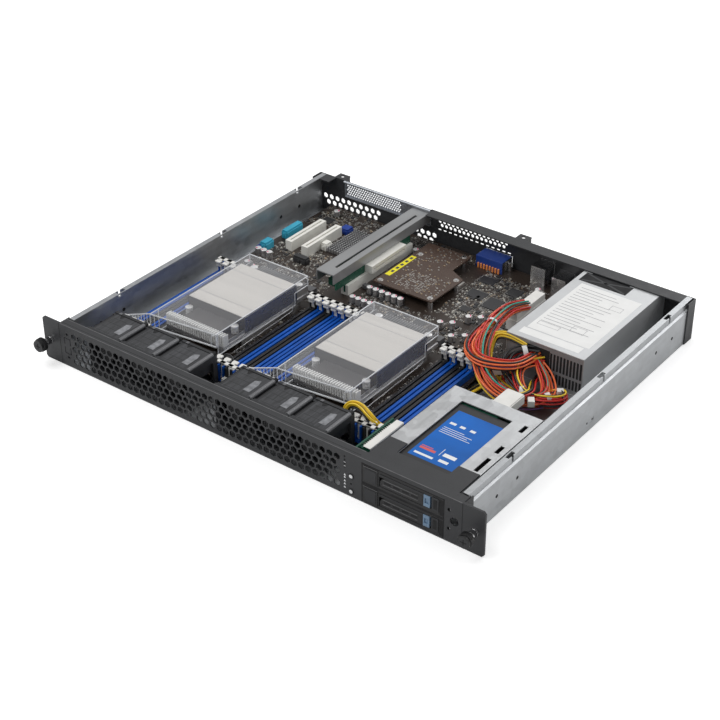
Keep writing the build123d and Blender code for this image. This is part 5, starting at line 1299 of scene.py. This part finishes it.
bundle("loop_wires", LOOP_ROUTE, ["w_red", "w_black", "w_yellow", "w_red", "w_orange", "w_black", "w_red"], 4.6,
       1.8, core="w_red")
bundle("processor_wires", CPU_ROUTE, ["w_yellow"] * 4 + ["w_black"] * 4, 2.8, 1.8)
bundle("fan_wires", FAN_ROUTE, ["w_black", "w_black", "w_black"], 1.2, 1.0)


def ties():
    """Nylon ties round the bundles and the white plugs among the wires."""
    piece = Piece("cable_ties")
    for a, b, r in (((153, 188, 17), (156.5, 190, 16.5), 7.0), ((176, 196, 15), (178.5, 199.5, 15.5), 5.6),
                    ((135, 230, 31), (132, 227, 30.5), 6.4), ((88, 243, 36), (87.2, 246, 36), 6.0)):
        a, b = Vector(a), Vector(b)
        run = b - a
        made = bmesh.ops.create_cone(piece.bm, cap_ends=False, segments=28, radius1=r, radius2=r,
                                     depth=run.length)["verts"]
        turn = run.to_track_quat("Z", "Y").to_matrix().to_4x4()
        bmesh.ops.transform(piece.bm, matrix=Matrix.Translation((a + b) / 2) @ turn, verts=made)
        piece.paint(made, "tie")
    piece.done()
    plugs = Piece("wire_plugs")
    turn = Matrix.Rotation(math.radians(35), 4, "Z")
    plugs.box((118, 128), (196, 204), (20, 28), "white", turn)
    plugs.box((168, 174), (176, 184), (16, 22), "white", turn)
    plugs.box((180, 186), (206, 212), (16, 21), "white", turn)
    plugs.box((53.5, 64.5), (57.4, 66.4), (9, 20), "cream_light")
    for x, y, z in ((-62, 57, 22), (-55, 55, 20), (-58.5, 53.5, 13), (-66, 51, 12)):
        plugs.box((x - 3.4, x + 3.4), (y - 2.4, y + 2.4), (z, z + 5.5), "white")
    plugs.done(bevel=0.4)


ties()


# Camera, floor and light

CAMERA_AT = Vector((0.744418, -0.824150, 0.802874))
CAMERA_AZIMUTH = 0.647024
CAMERA_TILT = 0.573226
CAMERA_ROLL = -0.001603
CAMERA_LENS = 80.30


def camera():
    back = Vector((math.sin(CAMERA_AZIMUTH) * math.cos(CAMERA_TILT),
                   -math.cos(CAMERA_AZIMUTH) * math.cos(CAMERA_TILT), math.sin(CAMERA_TILT)))
    right = Vector((math.cos(CAMERA_AZIMUTH), math.sin(CAMERA_AZIMUTH), 0))
    up = back.cross(right)
    c, s = math.cos(CAMERA_ROLL), math.sin(CAMERA_ROLL)
    right, up = c * right + s * up, -s * right + c * up
    data = bpy.data.cameras.new("camera")
    data.lens = CAMERA_LENS
    data.sensor_width = 36.0
    data.clip_start = 0.01
    eye = bpy.data.objects.new("camera", data)
    turn = Matrix((right, up, back)).transposed().to_4x4()
    eye.matrix_world = Matrix.Translation(CAMERA_AT) @ turn
    bpy.context.scene.collection.objects.link(eye)
    bpy.context.scene.camera = eye


def floor():
    mesh = bpy.data.meshes.new("floor")
    half = 6.0
    low = min(0.0, CAD_BOX[0][2]) - 0.0002
    mesh.from_pydata([(-half, -half, low), (half, -half, low), (half, half, low), (-half, half, low)], [],
                     [(0, 1, 2, 3)])
    material, tree, shader = node_material("floor")
    tone = ramp(tree, noise(tree, coordinates(tree), 2.0), 0.3, 0.7, (0.86, 0.86, 0.86), (0.88, 0.88, 0.88))
    link(tree, tone, shader.inputs["Base Color"])
    shader.inputs["Roughness"].default_value = 0.9
    shader.inputs["Specular IOR Level"].default_value = 0.1
    light = tree.nodes.new("ShaderNodeEmission")
    path = tree.nodes.new("ShaderNodeLightPath")
    seen = tree.nodes.new("ShaderNodeMath")
    seen.operation = "MULTIPLY"
    seen.inputs[1].default_value = 0.42
    link(tree, path.outputs["Is Camera Ray"], seen.inputs[0])
    link(tree, seen.outputs["Value"], light.inputs["Strength"])
    add = tree.nodes.new("ShaderNodeAddShader")
    link(tree, shader.outputs["BSDF"], add.inputs[0])
    link(tree, light.outputs["Emission"], add.inputs[1])
    link(tree, add.outputs["Shader"], tree.nodes["Material Output"].inputs["Surface"])
    mesh.materials.append(material)
    plane = bpy.data.objects.new("floor", mesh)
    bpy.context.scene.collection.objects.link(plane)


def world():
    scene = bpy.context.scene
    scene.world = bpy.data.worlds.new("studio")
    scene.world.use_nodes = True
    tree = scene.world.node_tree
    background = tree.nodes["Background"]
    path = tree.nodes.new("ShaderNodeLightPath")
    seen = tree.nodes.new("ShaderNodeMath")
    seen.operation = "MAXIMUM"
    link(tree, path.outputs["Is Camera Ray"], seen.inputs[0])
    link(tree, path.outputs["Is Transmission Ray"], seen.inputs[1])
    strength = tree.nodes.new("ShaderNodeMapRange")
    strength.inputs["To Min"].default_value = 0.50
    strength.inputs["To Max"].default_value = 1.0
    link(tree, seen.outputs["Value"], strength.inputs["Value"])
    link(tree, strength.outputs["Result"], background.inputs["Strength"])
    background.inputs["Color"].default_value = (1, 1, 1, 1)


def lamp(name, place, target, size, power):
    data = bpy.data.lights.new(name, "AREA")
    data.shape = "RECTANGLE"
    data.size, data.size_y = size
    data.energy = power
    lit = bpy.data.objects.new(name, data)
    lit.location = place
    lit.rotation_euler = (Vector(target) - Vector(place)).to_track_quat("-Z", "Y").to_euler()
    bpy.context.scene.collection.objects.link(lit)


camera()
floor()
world()
lamp("key", (-0.7, -0.5, 1.5), (0, 0.2, 0), (1.2, 1.0), 13.0)
lamp("back", (0.3, 1.5, 1.1), (0, 0.2, 0), (1.6, 0.8), 11.0)
lamp("right", (1.6, 0.2, 0.7), (0.1, 0.2, 0), (0.9, 0.7), 1.3)
bpy.context.scene.view_settings.view_transform = "Standard"
